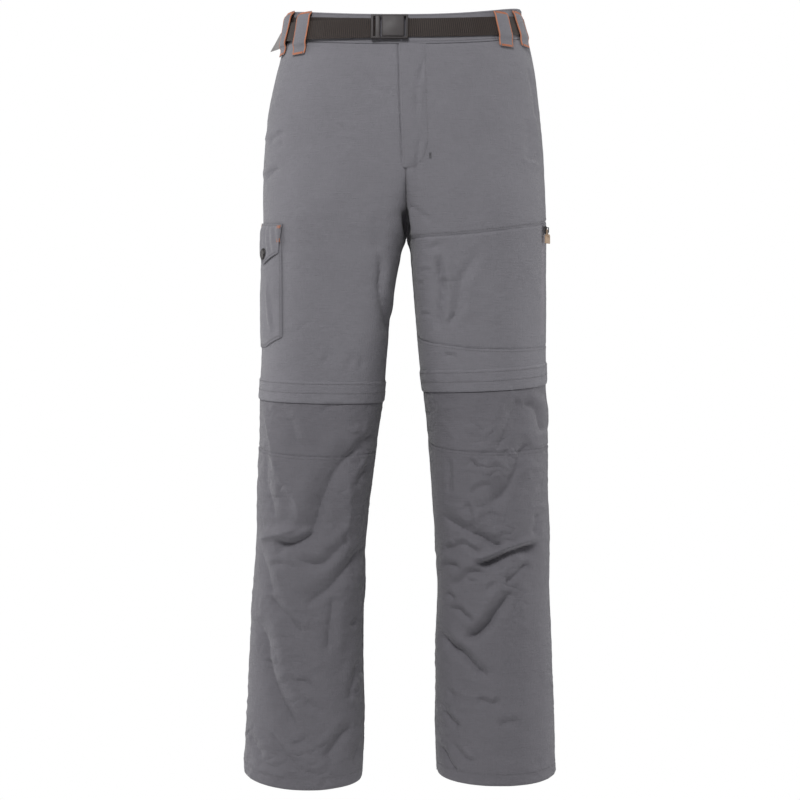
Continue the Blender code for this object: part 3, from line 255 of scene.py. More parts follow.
def quarterTable(side, face):
    # two superellipse arcs from the side seam over the middle of the leg to the inner or centre seam,
    # read again at even shares of their length: x, y and the level direction square to them
    heights = tableHeights
    sign = 1.0 if side == "left" else -1.0
    sideX = sectionValue(side + " side", heights)
    innerX = innerLine(side, heights) + sign * seamGap / 2
    depth = sectionValue(face, heights)
    climb = np.clip((heights - crotchHeight) / seamRise[face], 0.0, 1.0)
    innerY = depth * (1 - (1 - climb) ** seamBend)
    merge = smoothStep((heights - crotchHeight) / legSpread)
    middleX = (sideX + innerX) / 2 * (1 - merge) + innerX * merge
    angle = np.linspace(0.0, math.pi / 2, 180)
    outer = (2 / np.interp(heights, powerHeights, column(powerColumns, powers, "outer")))[:, None]
    inner = (2 / np.interp(heights, powerHeights, column(powerColumns, powers, "inner")))[:, None]
    cosine = np.cos(angle).clip(0.0)
    sine = np.sin(angle)
    outerX = middleX[:, None] + (sideX - middleX)[:, None] * cosine ** outer
    outerY = depth[:, None] * sine ** outer
    secondX = middleX[:, None] + (innerX - middleX)[:, None] * sine ** inner
    secondY = innerY[:, None] + (depth - innerY)[:, None] * cosine ** inner
    xs = np.concatenate([outerX, secondX[:, 1:]], axis=1)
    ys = np.concatenate([outerY, secondY[:, 1:]], axis=1)
    run = np.concatenate([np.zeros((len(heights), 1)),
                          np.cumsum(np.hypot(np.diff(xs), np.diff(ys)), axis=1)], axis=1)
    whole = np.hypot(np.diff(secondX), np.diff(depth[:, None] * cosine ** inner)).sum(axis=1)
    total = run[:, -1]
    shelf = 2.0 * np.arange(len(heights))[:, None]
    keys = (run / total[:, None] + shelf).ravel()
    wanted = (np.linspace(0.0, 1.0, tableShares)[None, :] + shelf).ravel()
    x = np.interp(wanted, keys, xs.ravel()).reshape(len(heights), tableShares)
    y = np.interp(wanted, keys, ys.ravel()).reshape(len(heights), tableShares)
    alongX = np.gradient(x, axis=1)
    alongY = np.gradient(y, axis=1)
    size = np.maximum(np.hypot(alongX, alongY), 1e-12)
    turn = sign * (1.0 if face == "front" else -1.0)
    points = np.stack([x, y, -turn * alongY / size, turn * alongX / size], axis=-1)
    return {"points": points, "total": total, "first": run[:, 179], "second": whole * (1 - merge)}


quarters = {}
for tableSide in ("right", "left"):
    for tableFace in ("front", "back"):
        quarters[tableSide, tableFace] = quarterTable(tableSide, tableFace)
print("tables ready")


def fourNearest(table, row, place):
    # straight mixture of the four entries round a row and a place in it, both with their fractions
    low = row.astype(int)
    left = place.astype(int)
    up = row - low
    along = place - left
    if table.ndim == 3:
        up = up[..., None]
        along = along[..., None]
    lower = table[low, left] * (1 - along) + table[low, left + 1] * along
    upper = table[low + 1, left] * (1 - along) + table[low + 1, left + 1] * along
    return lower * (1 - up) + upper * up


def readTable(side, face, shares, heights):
    # x, y and the direction away from the body
    row = np.clip((heights - tableHeights[0]) / tableStep, 0, len(tableHeights) - 1.001)
    place = np.clip(shares, 0.0, 1.0) * (tableShares - 1.001)
    return np.moveaxis(fourNearest(quarters[side, face]["points"], row, place), -1, 0)


def quarterLength(side, face, heights):
    # level distance over the cloth from the side seam to the inner or centre seam
    return np.interp(heights, tableHeights, quarters[side, face]["total"])


def partShares(side, face, parts, heights):
    # parts count the second arc as long as it will be below the crotch, so columns run down without a jump
    table = quarters[side, face]
    total = np.interp(heights, tableHeights, table["total"])
    first = np.interp(heights, tableHeights, table["first"])
    second = np.interp(heights, tableHeights, table["second"])
    nominal = parts * (first + second)
    past = np.clip((nominal - first) / np.maximum(second, 1e-9), 0.0, 1.0)
    distance = np.where(nominal < first, nominal, first + past * (total - first))
    return np.clip(distance, seamGap / 2, total - seamGap / 2) / total


def curveThrough(points, count):
    # Catmull-Rom curve through the points, read at even steps of its own parameter: half the sum of
    # a constant, a straight, a squared and a cubed part of the step
    points = np.asarray(points, dtype=float)
    padded = np.concatenate([2 * points[:1] - points[1:2], points, 2 * points[-1:] - points[-2:-1]])
    t = np.linspace(0.0, len(points) - 1.0, count)
    start = np.minimum(t.astype(int), len(points) - 2)
    t = (t - start)[:, None]
    a, b, c, d = (padded[start + shift] for shift in range(4))
    squared = 2 * a - 5 * b + 4 * c - d
    cubed = 3 * b - a - 3 * c + d
    return 0.5 * (2 * b + (c - a) * t + squared * t ** 2 + cubed * t ** 3)


foldDepth = {"right": 1.4, "left": 2.2, "thighs": 1.7, "back": 1.3}
foldBell = {
    "round": 0.45, "sharp": 0.55, "narrow": 2.5, "power": 1.15,      # a round bell and a sharper one
    "shoulder": 0.32, "shoulderPlace": 1.8, "shoulderWidth": 0.9,
    "fade": 0.22, "endShare": 0.12, "uneven": 0.15, "reach": 3.4,
}
mapStep = 1.0
mapX = np.arange(-250.0, 251.0, mapStep)
mapZ = np.arange(-1095.0, 61.0, mapStep)


def foldMap(folds, scale):
    # each fold is a bell across its curve with its own width on each side, a low shoulder beyond the
    # left side, faded over the ends and uneven along the way; all in millimetres
    push = np.zeros((len(mapZ), len(mapX)))
    for number, fold in enumerate(folds):
        depth, leftWidth, rightWidth = fold[:3]
        route = curveThrough(np.array(fold[3:]).reshape(-1, 2), 26)
        margin = foldBell["reach"] * max(leftWidth, rightWidth)
        columns = np.flatnonzero((mapX > route[:, 0].min() - margin) & (mapX < route[:, 0].max() + margin))
        rows = np.flatnonzero((mapZ > route[:, 1].min() - margin) & (mapZ < route[:, 1].max() + margin))
        x, z = np.meshgrid(mapX[columns], mapZ[rows])
        nearest = np.full(x.shape, 1e9)
        across = np.zeros(x.shape)
        travel = np.zeros(x.shape)
        for step in range(len(route) - 1):
            dx, dz = route[step + 1] - route[step]
            length = dx * dx + dz * dz
            t = np.clip(((x - route[step, 0]) * dx + (z - route[step, 1]) * dz) / length, 0.0, 1.0)
            awayX = x - route[step, 0] - t * dx
            awayZ = z - route[step, 1] - t * dz
            apart = np.hypot(awayX, awayZ)
            closer = apart < nearest
            side = np.where(awayZ * dx - awayX * dz >= 0, 1.0, -1.0)
            nearest = np.where(closer, apart, nearest)
            across = np.where(closer, side * apart, across)
            travel = np.where(closer, (step + t) / (len(route) - 1), travel)
        width = np.where(across >= 0, leftWidth, rightWidth)
        sharp = np.exp(-np.abs(foldBell["narrow"] * across / width) ** foldBell["power"])
        bell = foldBell["round"] * np.exp(-(across / width) ** 2) + foldBell["sharp"] * sharp
        beside = (across - foldBell["shoulderPlace"] * leftWidth) / (foldBell["shoulderWidth"] * leftWidth)
        bell = bell - foldBell["shoulder"] * np.exp(-beside ** 2)
        ends = smoothStep(np.minimum(travel, 1 - travel) / foldBell["fade"] + foldBell["endShare"])
        beyond = np.exp(-(np.maximum(nearest - np.abs(across), 0) / 4) ** 2)
        uneven = 1 + foldBell["uneven"] * np.sin(2.3 * number + 7 * travel)
        push[np.ix_(rows, columns)] -= scale * depth * bell * ends * uneven * beyond
    return push


frontMap = foldMap(legFoldsRight, foldDepth["right"]) + foldMap(legFoldsLeft, foldDepth["left"])
frontMap += foldMap(thighFolds, foldDepth["thighs"])
backMap = foldMap(backFolds, foldDepth["back"])


def readMap(folds, x, z):
    # how far the cloth is pushed at a place, in metres
    across = np.clip((x * 1000 - mapX[0]) / mapStep, 0, len(mapX) - 1.001)
    up = np.clip((z * 1000 - mapZ[0]) / mapStep, 0, len(mapZ) - 1.001)
    return fourNearest(folds, up, across) / 1000


def softNoise(x, y, z, size, seed):
    # random numbers at the corners of cubes of one size, blended with smooth weights
    lattice = np.random.default_rng(seed).uniform(-1.0, 1.0, (32, 32, 32))
    cells = []
    weights = []
    for value in (x, y, z):
        scaled = value / size + 100.37
        cell = np.floor(scaled).astype(int)
        cells.append(cell)
        weights.append(smoothStep(scaled - cell))
    total = 0.0
    for corner in range(8):
        bits = (corner & 1, corner >> 1 & 1, corner >> 2 & 1)
        weight = 1.0
        for bit, share in zip(bits, weights):
            weight = weight * (share if bit else 1 - share)
        total = total + weight * lattice[tuple((cell + bit) % 32 for cell, bit in zip(cells, bits))]
    return total


def frontPush(x, y, z):
    # seen from the camera: a point's place on the plane through the side seams
    scale = camera["distance"] / (camera["distance"] + y)
    seenX = x * scale
    seenZ = camera["height"] + (z - camera["height"]) * scale
    seenX = seenX + 0.0013 * softNoise(x, y, z, 0.024, 5)
    seenZ = seenZ + 0.0013 * softNoise(x, y, z, 0.024, 6)
    return readMap(frontMap, seenX, seenZ)


def seamPush(side, share):
    # how far a front goes in along its side seam (share 0) or its inner seam (share 1)
    x, y = readTable(side, "front", np.full(tableHeights.shape, share), tableHeights)[:2]
    return frontPush(x, y, tableHeights)


seamPushes = {(side, share): seamPush(side, share) for side in ("right", "left") for share in (0.0, 1.0)}


def meeting(z, awayY):
    # 0 where the left and right halves meet face to face between the legs, 1 where they lie side by side
    below = smoothStep((crotchHeight - z) / 0.03)
    return below + (1 - below) * smoothStep(1.6 * awayY ** 2 - 0.3)


# Strength on the upper trousers, what the lower legs add to it, then the noise's size and seed
unevenness = {
    "waves": (0.0010, 0.0010, 0.085, 11),
    "ridges": (0.0007, 0.0010, 0.024, 12),
    "finer": (0.0003, 0.0004, 0.013, 14),
    "grain": (0.00006, 0.00008, 0.007, 13),
}


def relief(side, face, x, y, z, shares, awayY):
    # folds from their map, long waves, low ridges and fine unevenness; calm at the waist, where the
    # legs part, and round the snap and the slider. A back takes on its front's push at their seams.
    total = quarterLength(side, face, z)
    toSide = shares * total
    toInner = total - toSide
    legs = smoothStep((crotchHeight - z) / 0.03)
    if face == "front":
        push = frontPush(x, y, z)
    else:
        own = readMap(backMap, x, z) * smoothStep(toSide / 0.05)
        push = own * (1 - legs + legs * smoothStep(toInner / 0.05))
        push += np.interp(z, tableHeights, seamPushes[side, 0.0]) * np.exp(-(toSide / 0.03) ** 2)
        push += legs * np.interp(z, tableHeights, seamPushes[side, 1.0]) * np.exp(-(toInner / 0.03) ** 2)
    slanted = x + 0.6 * z * np.sign(x)
    patches = smoothStep(0.5 + 1.2 * softNoise(x, y, z, 0.06, 15))
    onLower = smoothStep((-0.50 - z) / 0.06)
    for name, (strength, more, size, seed) in unevenness.items():
        if name == "ridges":
            ridged = 0.5 - np.abs(softNoise(slanted * 0.6, y, z * 1.4, size, seed)) ** 0.7
            shape = ridged * (0.35 + 0.65 * patches)
        elif name == "finer":
            ridged = 0.5 - np.abs(softNoise(slanted, y, z * 1.5, size, seed)) ** 0.7
            shape = ridged * (0.2 + 0.8 * patches)
        else:
            shape = softNoise(x, y, z, size, seed)
        push += (strength + more * onLower) * shape
    waist = 1 - 0.92 * smoothStep((z + 0.075) / 0.035)
    calm = waist * (1 - (1 - meeting(z, awayY)) * (1 - smoothStep(toInner / 0.018)))
    for place in (snap["place"], sideZip["slider"]):
        apart = (x - place[0]) ** 2 + (y - place[1]) ** 2 + (z - place[2]) ** 2
        calm = calm * (1 - np.exp(-apart / 0.016 ** 2))
    return push * calm


def bodySheet(side, face, shares, heights, out, wall):
    # outer and inner points of a cloth and the flat body points under them
    shares, heights, out = np.broadcast_arrays(shares, heights, out)
    x, y, awayX, awayY = readTable(side, face, shares, heights)
    move = out + relief(side, face, x, y, heights, shares, awayY)
    outer = np.stack([x + awayX * move, y + awayY * move, heights], axis=-1)
    inner = np.stack([x + awayX * (move - wall), y + awayY * (move - wall), heights], axis=-1)
    return outer, inner, np.stack([x, y, heights], axis=-1)


def eitherSheet(first, ahead, behind):
    # each point from the first sheet where first is true, from the second elsewhere
    return tuple(np.where(first[..., None], a, b) for a, b in zip(ahead, behind))


def aroundSide(side, distances, heights, out, wall=0.0):
    # distances from a side seam, positive to the front
    distances, heights, out = np.broadcast_arrays(distances, heights, out)
    front = np.maximum(distances, 0.0) / quarterLength(side, "front", heights)
    back = np.maximum(-distances, 0.0) / quarterLength(side, "back", heights)
    ahead = bodySheet(side, "front", front, heights, out, wall)
    behind = bodySheet(side, "back", back, heights, out, wall)
    return eitherSheet(distances >= 0, ahead, behind)


def aroundCentre(face, distances, heights, out, wall=0.0):
    # distances from a centre seam, positive to the wearer's left
    distances, heights, out = np.broadcast_arrays(distances, heights, out)
    left = 1 - np.maximum(distances, 0.0) / quarterLength("left", face, heights)
    right = 1 - np.maximum(-distances, 0.0) / quarterLength("right", face, heights)
    ahead = bodySheet("left", face, left, heights, out, wall)
    behind = bodySheet("right", face, right, heights, out, wall)
    return eitherSheet(distances >= 0, ahead, behind)


def waistLine(name, side, face, shares):
    # leans from its height at the side seam by the square of the depth that the waist reaches
    row = dict(zip(waistColumns, waistLines[name]))
    shares = np.asarray(shares, dtype=float)
    y = readTable("left", face, shares, np.zeros_like(shares))[1]
    reached = np.clip(y / sectionValue(face, np.array(0.0)), 0.0, 1.0) ** 2
    start = row[side + " side"]
    return start + (row[face] - start) * reached


def legEdge(name, side, face, parts):
    # straight from the side seam to the inner seam, dipping by a half sine
    row = dict(zip(edgeColumns, edges[side][name]))
    return row["side"] + (row["inner"] - row["side"]) * parts - row[face] * np.sin(math.pi * parts)


def spread(length, step):
    # shares of a length, close together at both ends where the seams' grooves lie
    near = np.array([0.0, 0.0006, 0.0013, 0.0022, 0.0032, 0.0042, 0.0052, 0.0064])
    count = max(int(round((length - 0.0164) / step)), 2)
    middle = np.linspace(0.0082, length - 0.0082, count)
    return np.concatenate([near, middle, length - near[::-1]]) / length


class Shade:
    # a socket of a shader tree, so that sums and products of sockets add the Math nodes that they need
    def __init__(self, tree, socket):
        self.tree = tree
        self.socket = socket

    def node(self, kind, settings, sockets, output=0):
        # any node: its settings first, then a value or a link for each of its named sockets
        made = self.tree.nodes.new(kind)
        for name, value in settings.items():
            setattr(made, name, value)
        for name, value in sockets.items():
            if isinstance(value, Shade):
                self.tree.links.new(value.socket, made.inputs[name])
            else:
                made.inputs[name].default_value = value
        return Shade(self.tree, made.outputs[output])

    def math(self, operation, *values):
        sockets = {number: value for number, value in enumerate(values)}
        return self.node("ShaderNodeMath", {"operation": operation}, sockets)

    def __add__(self, other):
        return self.math("ADD", self, other)

    __radd__ = __add__

    def __sub__(self, other):
        return self.math("SUBTRACT", self, other)

    def __rsub__(self, other):
        return self.math("SUBTRACT", other, self)

    def __mul__(self, other):
        return self.math("MULTIPLY", self, other)

    __rmul__ = __mul__

    def sine(self):
        return self.math("SINE", self)

    def absolute(self):
        return self.math("ABSOLUTE", self)

    def mixed(self, low, high):
        # a colour between two, by this value
        sockets = {0: self, 6: low, 7: high}
        return self.node("ShaderNodeMix", {"data_type": "RGBA"}, sockets, 2)

    def feed(self, shader, name):
        self.tree.links.new(self.socket, shader.inputs[name])


def colour(values, scale=1.0):
    # a colour made lighter or darker, with full cover
    return tuple(value * scale for value in values) + (1.0,)


def newMaterial(name, base, roughness, metallic=0.0):
    # gives the material, its shader, the place in the object and the place on the uncurled cloth
    material = bpy.data.materials.new(name)
    material.use_nodes = True
    material.diffuse_color = colour(base)
    tree = material.node_tree
    shader = tree.nodes["Principled BSDF"]
    shader.inputs["Base Color"].default_value = colour(base)
    shader.inputs["Roughness"].default_value = roughness
    shader.inputs["Metallic"].default_value = metallic
    start = tree.nodes.new("ShaderNodeTexCoord")
    return material, shader, Shade(tree, start.outputs["Object"]), Shade(tree, start.outputs["UV"])


def axis(vector, number):
    # one of a vector's three numbers
    return vector.node("ShaderNodeSeparateXYZ", {}, {0: vector}, number)


def noiseOf(vector, scale, detail=2.0):
    # 0 to 1
    return vector.node("ShaderNodeTexNoise", {}, {"Vector": vector, "Scale": scale, "Detail": detail})


def bumped(height, shader, strength=1.0):
    # a height in metres, felt as a slope
    sockets = {"Height": height, "Distance": 1.0, "Strength": strength}
    height.node("ShaderNodeBump", {}, sockets).feed(shader, "Normal")


# Finishes
cloth = {
    # the lower legs' colour is darker than the upper one: partly their own zip-off cloth, partly painted
    # shade for the lower legs getting less light
    "upper": (0.231, 0.225, 0.249), "lower": (0.181, 0.175, 0.195), "roughness": 0.82, "sheen": 0.25,
    "wall": 0.0009, "frontStep": 0.0030, "lowerStep": 0.0022, "backStep": 0.0038,
    "upperCrease": 0.003, "lowerCrease": 0.011,      # small creases, felt only
    "groove": 0.0011, "grooveWidth": 0.0018,         # where a panel rounds down into its seam
    "valley": 0.00022, "pucker": 0.00045,            # along a row of stitches, and beside a seam
    "seamRow": 0.003, "inseamRows": (0.0035, 0.0065), "hemRow": 0.016,
    "sideReach": (-0.050, -0.485), "inseamReach": (-0.530, -1.040),    # heights where rows start and end
}
stitch = {"pitch": 0.0030, "length": 0.0022, "radius": 0.00026, "tackRadius": 0.00034,
          "colour": (0.165, 0.160, 0.173)}
# the pale colour for the belt's free end is a painted highlight, standing for light on its grazing face
webbing = {"colour": (0.0275, 0.0180, 0.0145), "highlightColour": (0.21, 0.20, 0.20),
           "rib": 0.0028, "ribDepth": 0.00055}
zipTape = {"colour": (0.055, 0.052, 0.056), "sideColour": (0.27, 0.255, 0.285)}
piping = {"radius": 0.0010, "colour": (0.56, 0.20, 0.10)}
plastic = {"colour": (0.052, 0.045, 0.046), "roughness": 0.55}
metal = {"colour": (0.085, 0.08, 0.08), "roughness": 0.5, "sliderRoughness": 0.42}
tabRubber = {"colour": (0.47, 0.33, 0.22), "roughness": 0.55}


def clothMaterial(name, base, crease):
    # plain weave of two crossed sines, slubs along both threads, a slow change of tone, and small sharp
    # creases: the distance of a noise from its middle value, stronger in patches
    material, shader, place, flat = newMaterial(name, base, cloth["roughness"])
    across = axis(flat, 0)
    along = axis(flat, 1)
    turns = 2 * math.pi / 0.00075
    weave = (across * turns).sine() * (along * turns).sine()
    level = flat.node("ShaderNodeVectorMath", {"operation": "MULTIPLY"}, {0: flat, 1: (0.12, 1.0, 1.0)})
    upright = flat.node("ShaderNodeVectorMath", {"operation": "MULTIPLY"}, {0: flat, 1: (1.0, 0.12, 1.0)})
    slub = noiseOf(level, 520.0) + noiseOf(upright, 620.0)
    slanted = place.node("ShaderNodeVectorMath", {"operation": "MULTIPLY"}, {0: place, 1: (1.0, 1.0, 1.5)})
    patch = place.node("ShaderNodeClamp", {}, {"Value": (noiseOf(place, 12.0, 1.0) - 0.46) * 6.0})
    creases = (noiseOf(slanted, 34.0, 1.5) - 0.5).absolute() * patch * crease
    bumped(weave * 0.00006 + slub * 0.00065 + creases, shader)
    tone = noiseOf(place, 26.0) * 0.3 + noiseOf(place, 160.0) * 0.2 + slub * 0.25
    tone.mixed(colour(base, 0.80), colour(base, 1.20)).feed(shader, "Base Color")
    (noiseOf(place, 60.0) * 0.14 + (cloth["roughness"] - 0.07)).feed(shader, "Roughness")
    shader.inputs["Sheen Weight"].default_value = cloth["sheen"]
    shader.inputs["Sheen Roughness"].default_value = 0.35
    shader.inputs["Specular IOR Level"].default_value = 0.25
    return material


def webbingMaterial(name, base):
    # fine threads along the strap between its ribs; painted shade and light follow the ribs, darker in
    # their grooves and lighter on their crests
    material, shader, place, flat = newMaterial(name, base, 0.62)
    along = axis(flat, 0)
    across = axis(flat, 1)
    rib = (along * (2 * math.pi / webbing["rib"])).sine()
    thread = (across * (2 * math.pi / 0.0011)).sine()
    fine = noiseOf(flat, 1500.0)
    bumped(thread * 0.00008 + fine * 0.00016, shader, 0.9)
    # painted shade in the rib grooves and painted light on their crests, with a random tone over them
    tone = rib * 0.5 + noiseOf(place, 300.0) * 0.4 + 0.3
    tone.mixed(colour(base, 0.40), colour(base, 1.65)).feed(shader, "Base Color")
    shader.inputs["Sheen Weight"].default_value = 0.05
    return material


def plasticMaterial(name, base, roughness):
    # low moulded grain
    material, shader, place = newMaterial(name, base, roughness)[:3]
    grain = noiseOf(place, 2600.0)
    bumped(grain * 0.00006, shader, 0.5)
    (noiseOf(place, 90.0) * 0.2 + (roughness - 0.1)).feed(shader, "Roughness")
    noiseOf(place, 220.0).mixed(colour(base, 0.92), colour(base, 1.08)).feed(shader, "Base Color")
    return material


def metalMaterial(name, base, roughness):
    # worn coating: rougher and paler in spots
    material, shader, place = newMaterial(name, base, roughness, 1.0)[:3]
    wear = noiseOf(place, 900.0, 4.0)
    (wear * 0.3 + (roughness - 0.15)).feed(shader, "Roughness")
    wear.mixed(colour(base, 0.8), colour(base, 1.25)).feed(shader, "Base Color")
    return material


def threadMaterial(name, base):
    # twisted strands: slanted fine lines
    material, shader, place = newMaterial(name, base, 0.7)[:3]
    slant = axis(place, 0) + axis(place, 2)
    strand = (slant * (2 * math.pi / 0.0004)).sine()
    bumped(strand * 0.00004, shader, 0.6)
    noiseOf(place, 500.0).mixed(colour(base, 0.82), colour(base, 1.18)).feed(shader, "Base Color")
    shader.inputs["Sheen Weight"].default_value = 0.2
    return material


materials = {
    "cloth": clothMaterial("grey_cloth", cloth["upper"], cloth["upperCrease"]),
    # the lower legs' cloth: its own darker dye plus painted shade for less light below
    "lower_cloth": clothMaterial("grey_lower_cloth_dye_and_painted_shade", cloth["lower"], cloth["lowerCrease"]),
    "loops": clothMaterial("grey_loops", cloth["upper"], cloth["upperCrease"]),
    "webbing": webbingMaterial("brown_webbing", webbing["colour"]),
    "webbing_painted_highlight": webbingMaterial("painted_highlight_webbing", webbing["highlightColour"]),
    "buckle": plasticMaterial("dark_plastic", plastic["colour"], plastic["roughness"]),
    "snap": metalMaterial("dark_cap", metal["colour"], metal["roughness"]),
    "zip_tape": webbingMaterial("zip_tape", zipTape["colour"]),
    "side_tape": clothMaterial("side_zip_tape", zipTape["sideColour"], cloth["upperCrease"]),
    "slider": metalMaterial("dark_slider", metal["colour"], metal["sliderRoughness"]),
    "pull_tab": plasticMaterial("tab_rubber", tabRubber["colour"], tabRubber["roughness"]),
    "thread": threadMaterial("grey_thread", stitch["colour"]),
    "piping": threadMaterial("orange_thread", piping["colour"]),
}
print("materials ready")


def meshObject(name, points, faces, material, flat=None, smoothAngle=40.0):
    # four-cornered faces only; flat holds each point's place on the uncurled cloth
    mesh = bpy.data.meshes.new(name)
    points = np.ascontiguousarray(points.reshape(-1, 3), dtype=np.float32)
    faces = np.ascontiguousarray(faces.reshape(-1, 4), dtype=np.int32)
    mesh.vertices.add(len(points))
    mesh.vertices.foreach_set("co", points.ravel())
    mesh.loops.add(faces.size)
    mesh.loops.foreach_set("vertex_index", faces.ravel())
    mesh.polygons.add(len(faces))
    mesh.polygons.foreach_set("loop_start", np.arange(0, faces.size, 4, dtype=np.int32))
    mesh.update(calc_edges=True)
    if flat is not None:
        layer = mesh.uv_layers.new(name="UVMap")
        layer.data.foreach_set("uv", np.ascontiguousarray(flat[faces.ravel()], dtype=np.float32).ravel())
    mesh.validate()
    mesh.shade_smooth()
    mesh.set_sharp_from_angle(angle=math.radians(smoothAngle))
    mesh.materials.append(materials[material])
    obj = bpy.data.objects.new(name, mesh)
    bpy.context.scene.collection.objects.link(obj)
    return obj


def gridFaces(rows, columns, closed):
    # faces of both sides of a grid and of its rim, all facing the same way
    count = rows * columns
    index = np.arange(count).reshape(rows, columns)
    if closed:
        index = np.concatenate([index, index[:, :1]], axis=1)
    a, b = index[:-1, :-1], index[1:, :-1]
    c, d = index[1:, 1:], index[:-1, 1:]
    parts = [np.stack([a, b, c, d], -1), np.stack([a, d, c, b], -1) + count]
    parts.append(np.stack([a[0], d[0], d[0] + count, a[0] + count], -1))
    parts.append(np.stack([c[-1], b[-1], b[-1] + count, c[-1] + count], -1))
    if not closed:
        parts.append(np.stack([b[:, 0], a[:, 0], a[:, 0] + count, b[:, 0] + count], -1))
        parts.append(np.stack([d[:, -1], c[:, -1], c[:, -1] + count, d[:, -1] + count], -1))
    return np.concatenate([part.reshape(-1, 4) for part in parts])


def facesOut(outer, inner, faces):
    # turned over if the first side's faces look towards the second side
    corners = outer.reshape(-1, 3)[faces[: (outer.shape[0] - 1) * (outer.shape[1] - 1)]]
    normal = np.cross(corners[:, 2] - corners[:, 0], corners[:, 3] - corners[:, 1])
    away = outer.reshape(-1, 3)[faces[: len(corners), 0]] - inner.reshape(-1, 3)[faces[: len(corners), 0]]
    return faces if (normal * away).sum() > 0 else faces[:, ::-1]


def shell(name, outer, inner, material, closed=False, flat=None):
    # a cloth with a wall, from the grids of its two faces
    rows, columns = outer.shape[:2]
    faces = facesOut(outer, inner, gridFaces(rows, columns, closed))
    if flat is None:
        steps = np.linalg.norm(np.diff(outer, axis=1), axis=-1)
        run = np.concatenate([np.zeros((rows, 1)), np.cumsum(steps, axis=1)], axis=1)
        flat = np.stack([run, outer[..., 2]], axis=-1)
    flat = np.tile(flat.reshape(-1, 2), (2, 1))
    points = np.concatenate([outer.reshape(-1, 3), inner.reshape(-1, 3)])
    return meshObject(name, points, faces, material, flat)


def flatCut(base, closed=False):
    # size and area of the cloth before its folds: the longest row and column, and the cells' areas
    if closed:
        base = np.concatenate([base, base[:, :1]], axis=1)
    width = np.linalg.norm(np.diff(base, axis=1), axis=-1).sum(axis=1).max()
    length = np.linalg.norm(np.diff(base, axis=0), axis=-1).sum(axis=0).max()
    one = base[1:, 1:] - base[:-1, :-1]
    other = base[1:, :-1] - base[:-1, 1:]
    area = 0.5 * np.linalg.norm(np.cross(one, other), axis=-1).sum()
    return float(width), float(length), float(min(area, width * length))


def settle(obj, nodes, cut=None):
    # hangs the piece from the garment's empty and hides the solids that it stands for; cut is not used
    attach(obj, "garment")
    if nodes:
        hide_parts(*nodes)
    return obj


def tube(path, radius, count=8):
    # rings square to a path, rounded shut at both ends
    ahead = np.gradient(path, axis=0)
    ahead /= np.linalg.norm(ahead, axis=1, keepdims=True)
    side = np.cross(ahead, np.array([0.31, 0.12, 0.94]))
    side /= np.linalg.norm(side, axis=1, keepdims=True)
    up = np.cross(ahead, side)
    turn = np.arange(count) * 2 * math.pi / count
    radii = np.full(len(path), radius)
    radii[[0, -1]] = radius * 0.15
    circle = side[:, None] * np.cos(turn)[None, :, None] + up[:, None] * np.sin(turn)[None, :, None]
    points = path[:, None] + circle * radii[:, None, None]
    index = np.arange(len(path) * count).reshape(len(path), count)
    wrapped = np.concatenate([index, index[:, :1]], axis=1)
    a, b = wrapped[:-1, :-1], wrapped[1:, :-1]
    c, d = wrapped[1:, 1:], wrapped[:-1, 1:]
    return points.reshape(-1, 3), np.stack([a, d, c, b], -1).reshape(-1, 4)


def joined(name, parts, material):
    # tubes gathered into one object
    points = []
    faces = []
    shift = 0
    for somePoints, someFaces in parts:
        points.append(somePoints)
        faces.append(someFaces + shift)
        shift += len(somePoints)
    obj = meshObject(name, np.concatenate(points), np.concatenate(faces), material, smoothAngle=50.0)
    return settle(obj, [])


def edgeDetail(toEdges, along):
    # a groove that rounds down into each seam, and short puckers beside it
    detail = 0.0
    for number, (distance, puckered) in enumerate(toEdges):
        detail = detail - cloth["groove"] * np.exp(-(distance / cloth["grooveWidth"]) ** 2)
        if puckered:
            wave = softNoise(along + 3 * number, 0 * along, 0 * along, 0.006, 21 + number)
            wave = wave + 0.6 * softNoise(along + 5 * number, 0 * along, 0 * along, 0.0033, 31 + number)
            detail = detail + puckered * cloth["pucker"] * wave * np.exp(-distance / 0.007)
    return detail


def valley(distance):
    # the line that a row of stitches pulls in
    return -cloth["valley"] * np.exp(-(distance / 0.0010) ** 2)


def panel(name, side, face, top, bottom, slotName, out=0.0, ends=(1, 1), lines=(), extra=None):
    # a cut panel between two lines over the parts of its quarter. ends are how strongly its top and
    # bottom pucker, lines are rows of stitches, each as (edge, distance) from it.
    step = cloth["backStep"]
    if face == "front":
        step = cloth["lowerStep"] if slotName == "lower_cloth" else cloth["frontStep"]
    middle = np.array([0.5])
    tall = float(top(middle)[0] - bottom(middle)[0])
    level = float(top(middle)[0] + bottom(middle)[0]) / 2
    parts = spread(float(quarterLength(side, face, level)), step)[None, :]
    high = top(parts) - seamGap / 2
    low = bottom(parts) + seamGap / 2
    heights = high + (low - high) * spread(tall, step)[:, None]
    shares = partShares(side, face, parts, heights)
    total = quarterLength(side, face, heights)
    to = {"side": shares * total, "inner": (1 - shares) * total}
    to["top"] = high - heights
    to["bottom"] = heights - low
    awayY = readTable(side, face, shares, heights)[3]
    detail = edgeDetail([(to["side"], 1)], heights)
    detail = detail + meeting(heights, awayY) * edgeDetail([(to["inner"], 1)], heights)
    detail = detail + edgeDetail([(to["top"], ends[0]), (to["bottom"], ends[1])], shares * total)
    for edge, distance in lines:
        detail = detail + valley(to[edge] - distance)
    if extra:
        detail = detail + extra(to["inner"], heights)
    outer, inner, base = bodySheet(side, face, shares, heights, out + detail, cloth["wall"])
    flat = np.stack([to["side"], heights], axis=-1)
    obj = shell("cloth_" + name, outer, inner, slotName, flat=flat)
    return settle(obj, [name], flatCut(base))


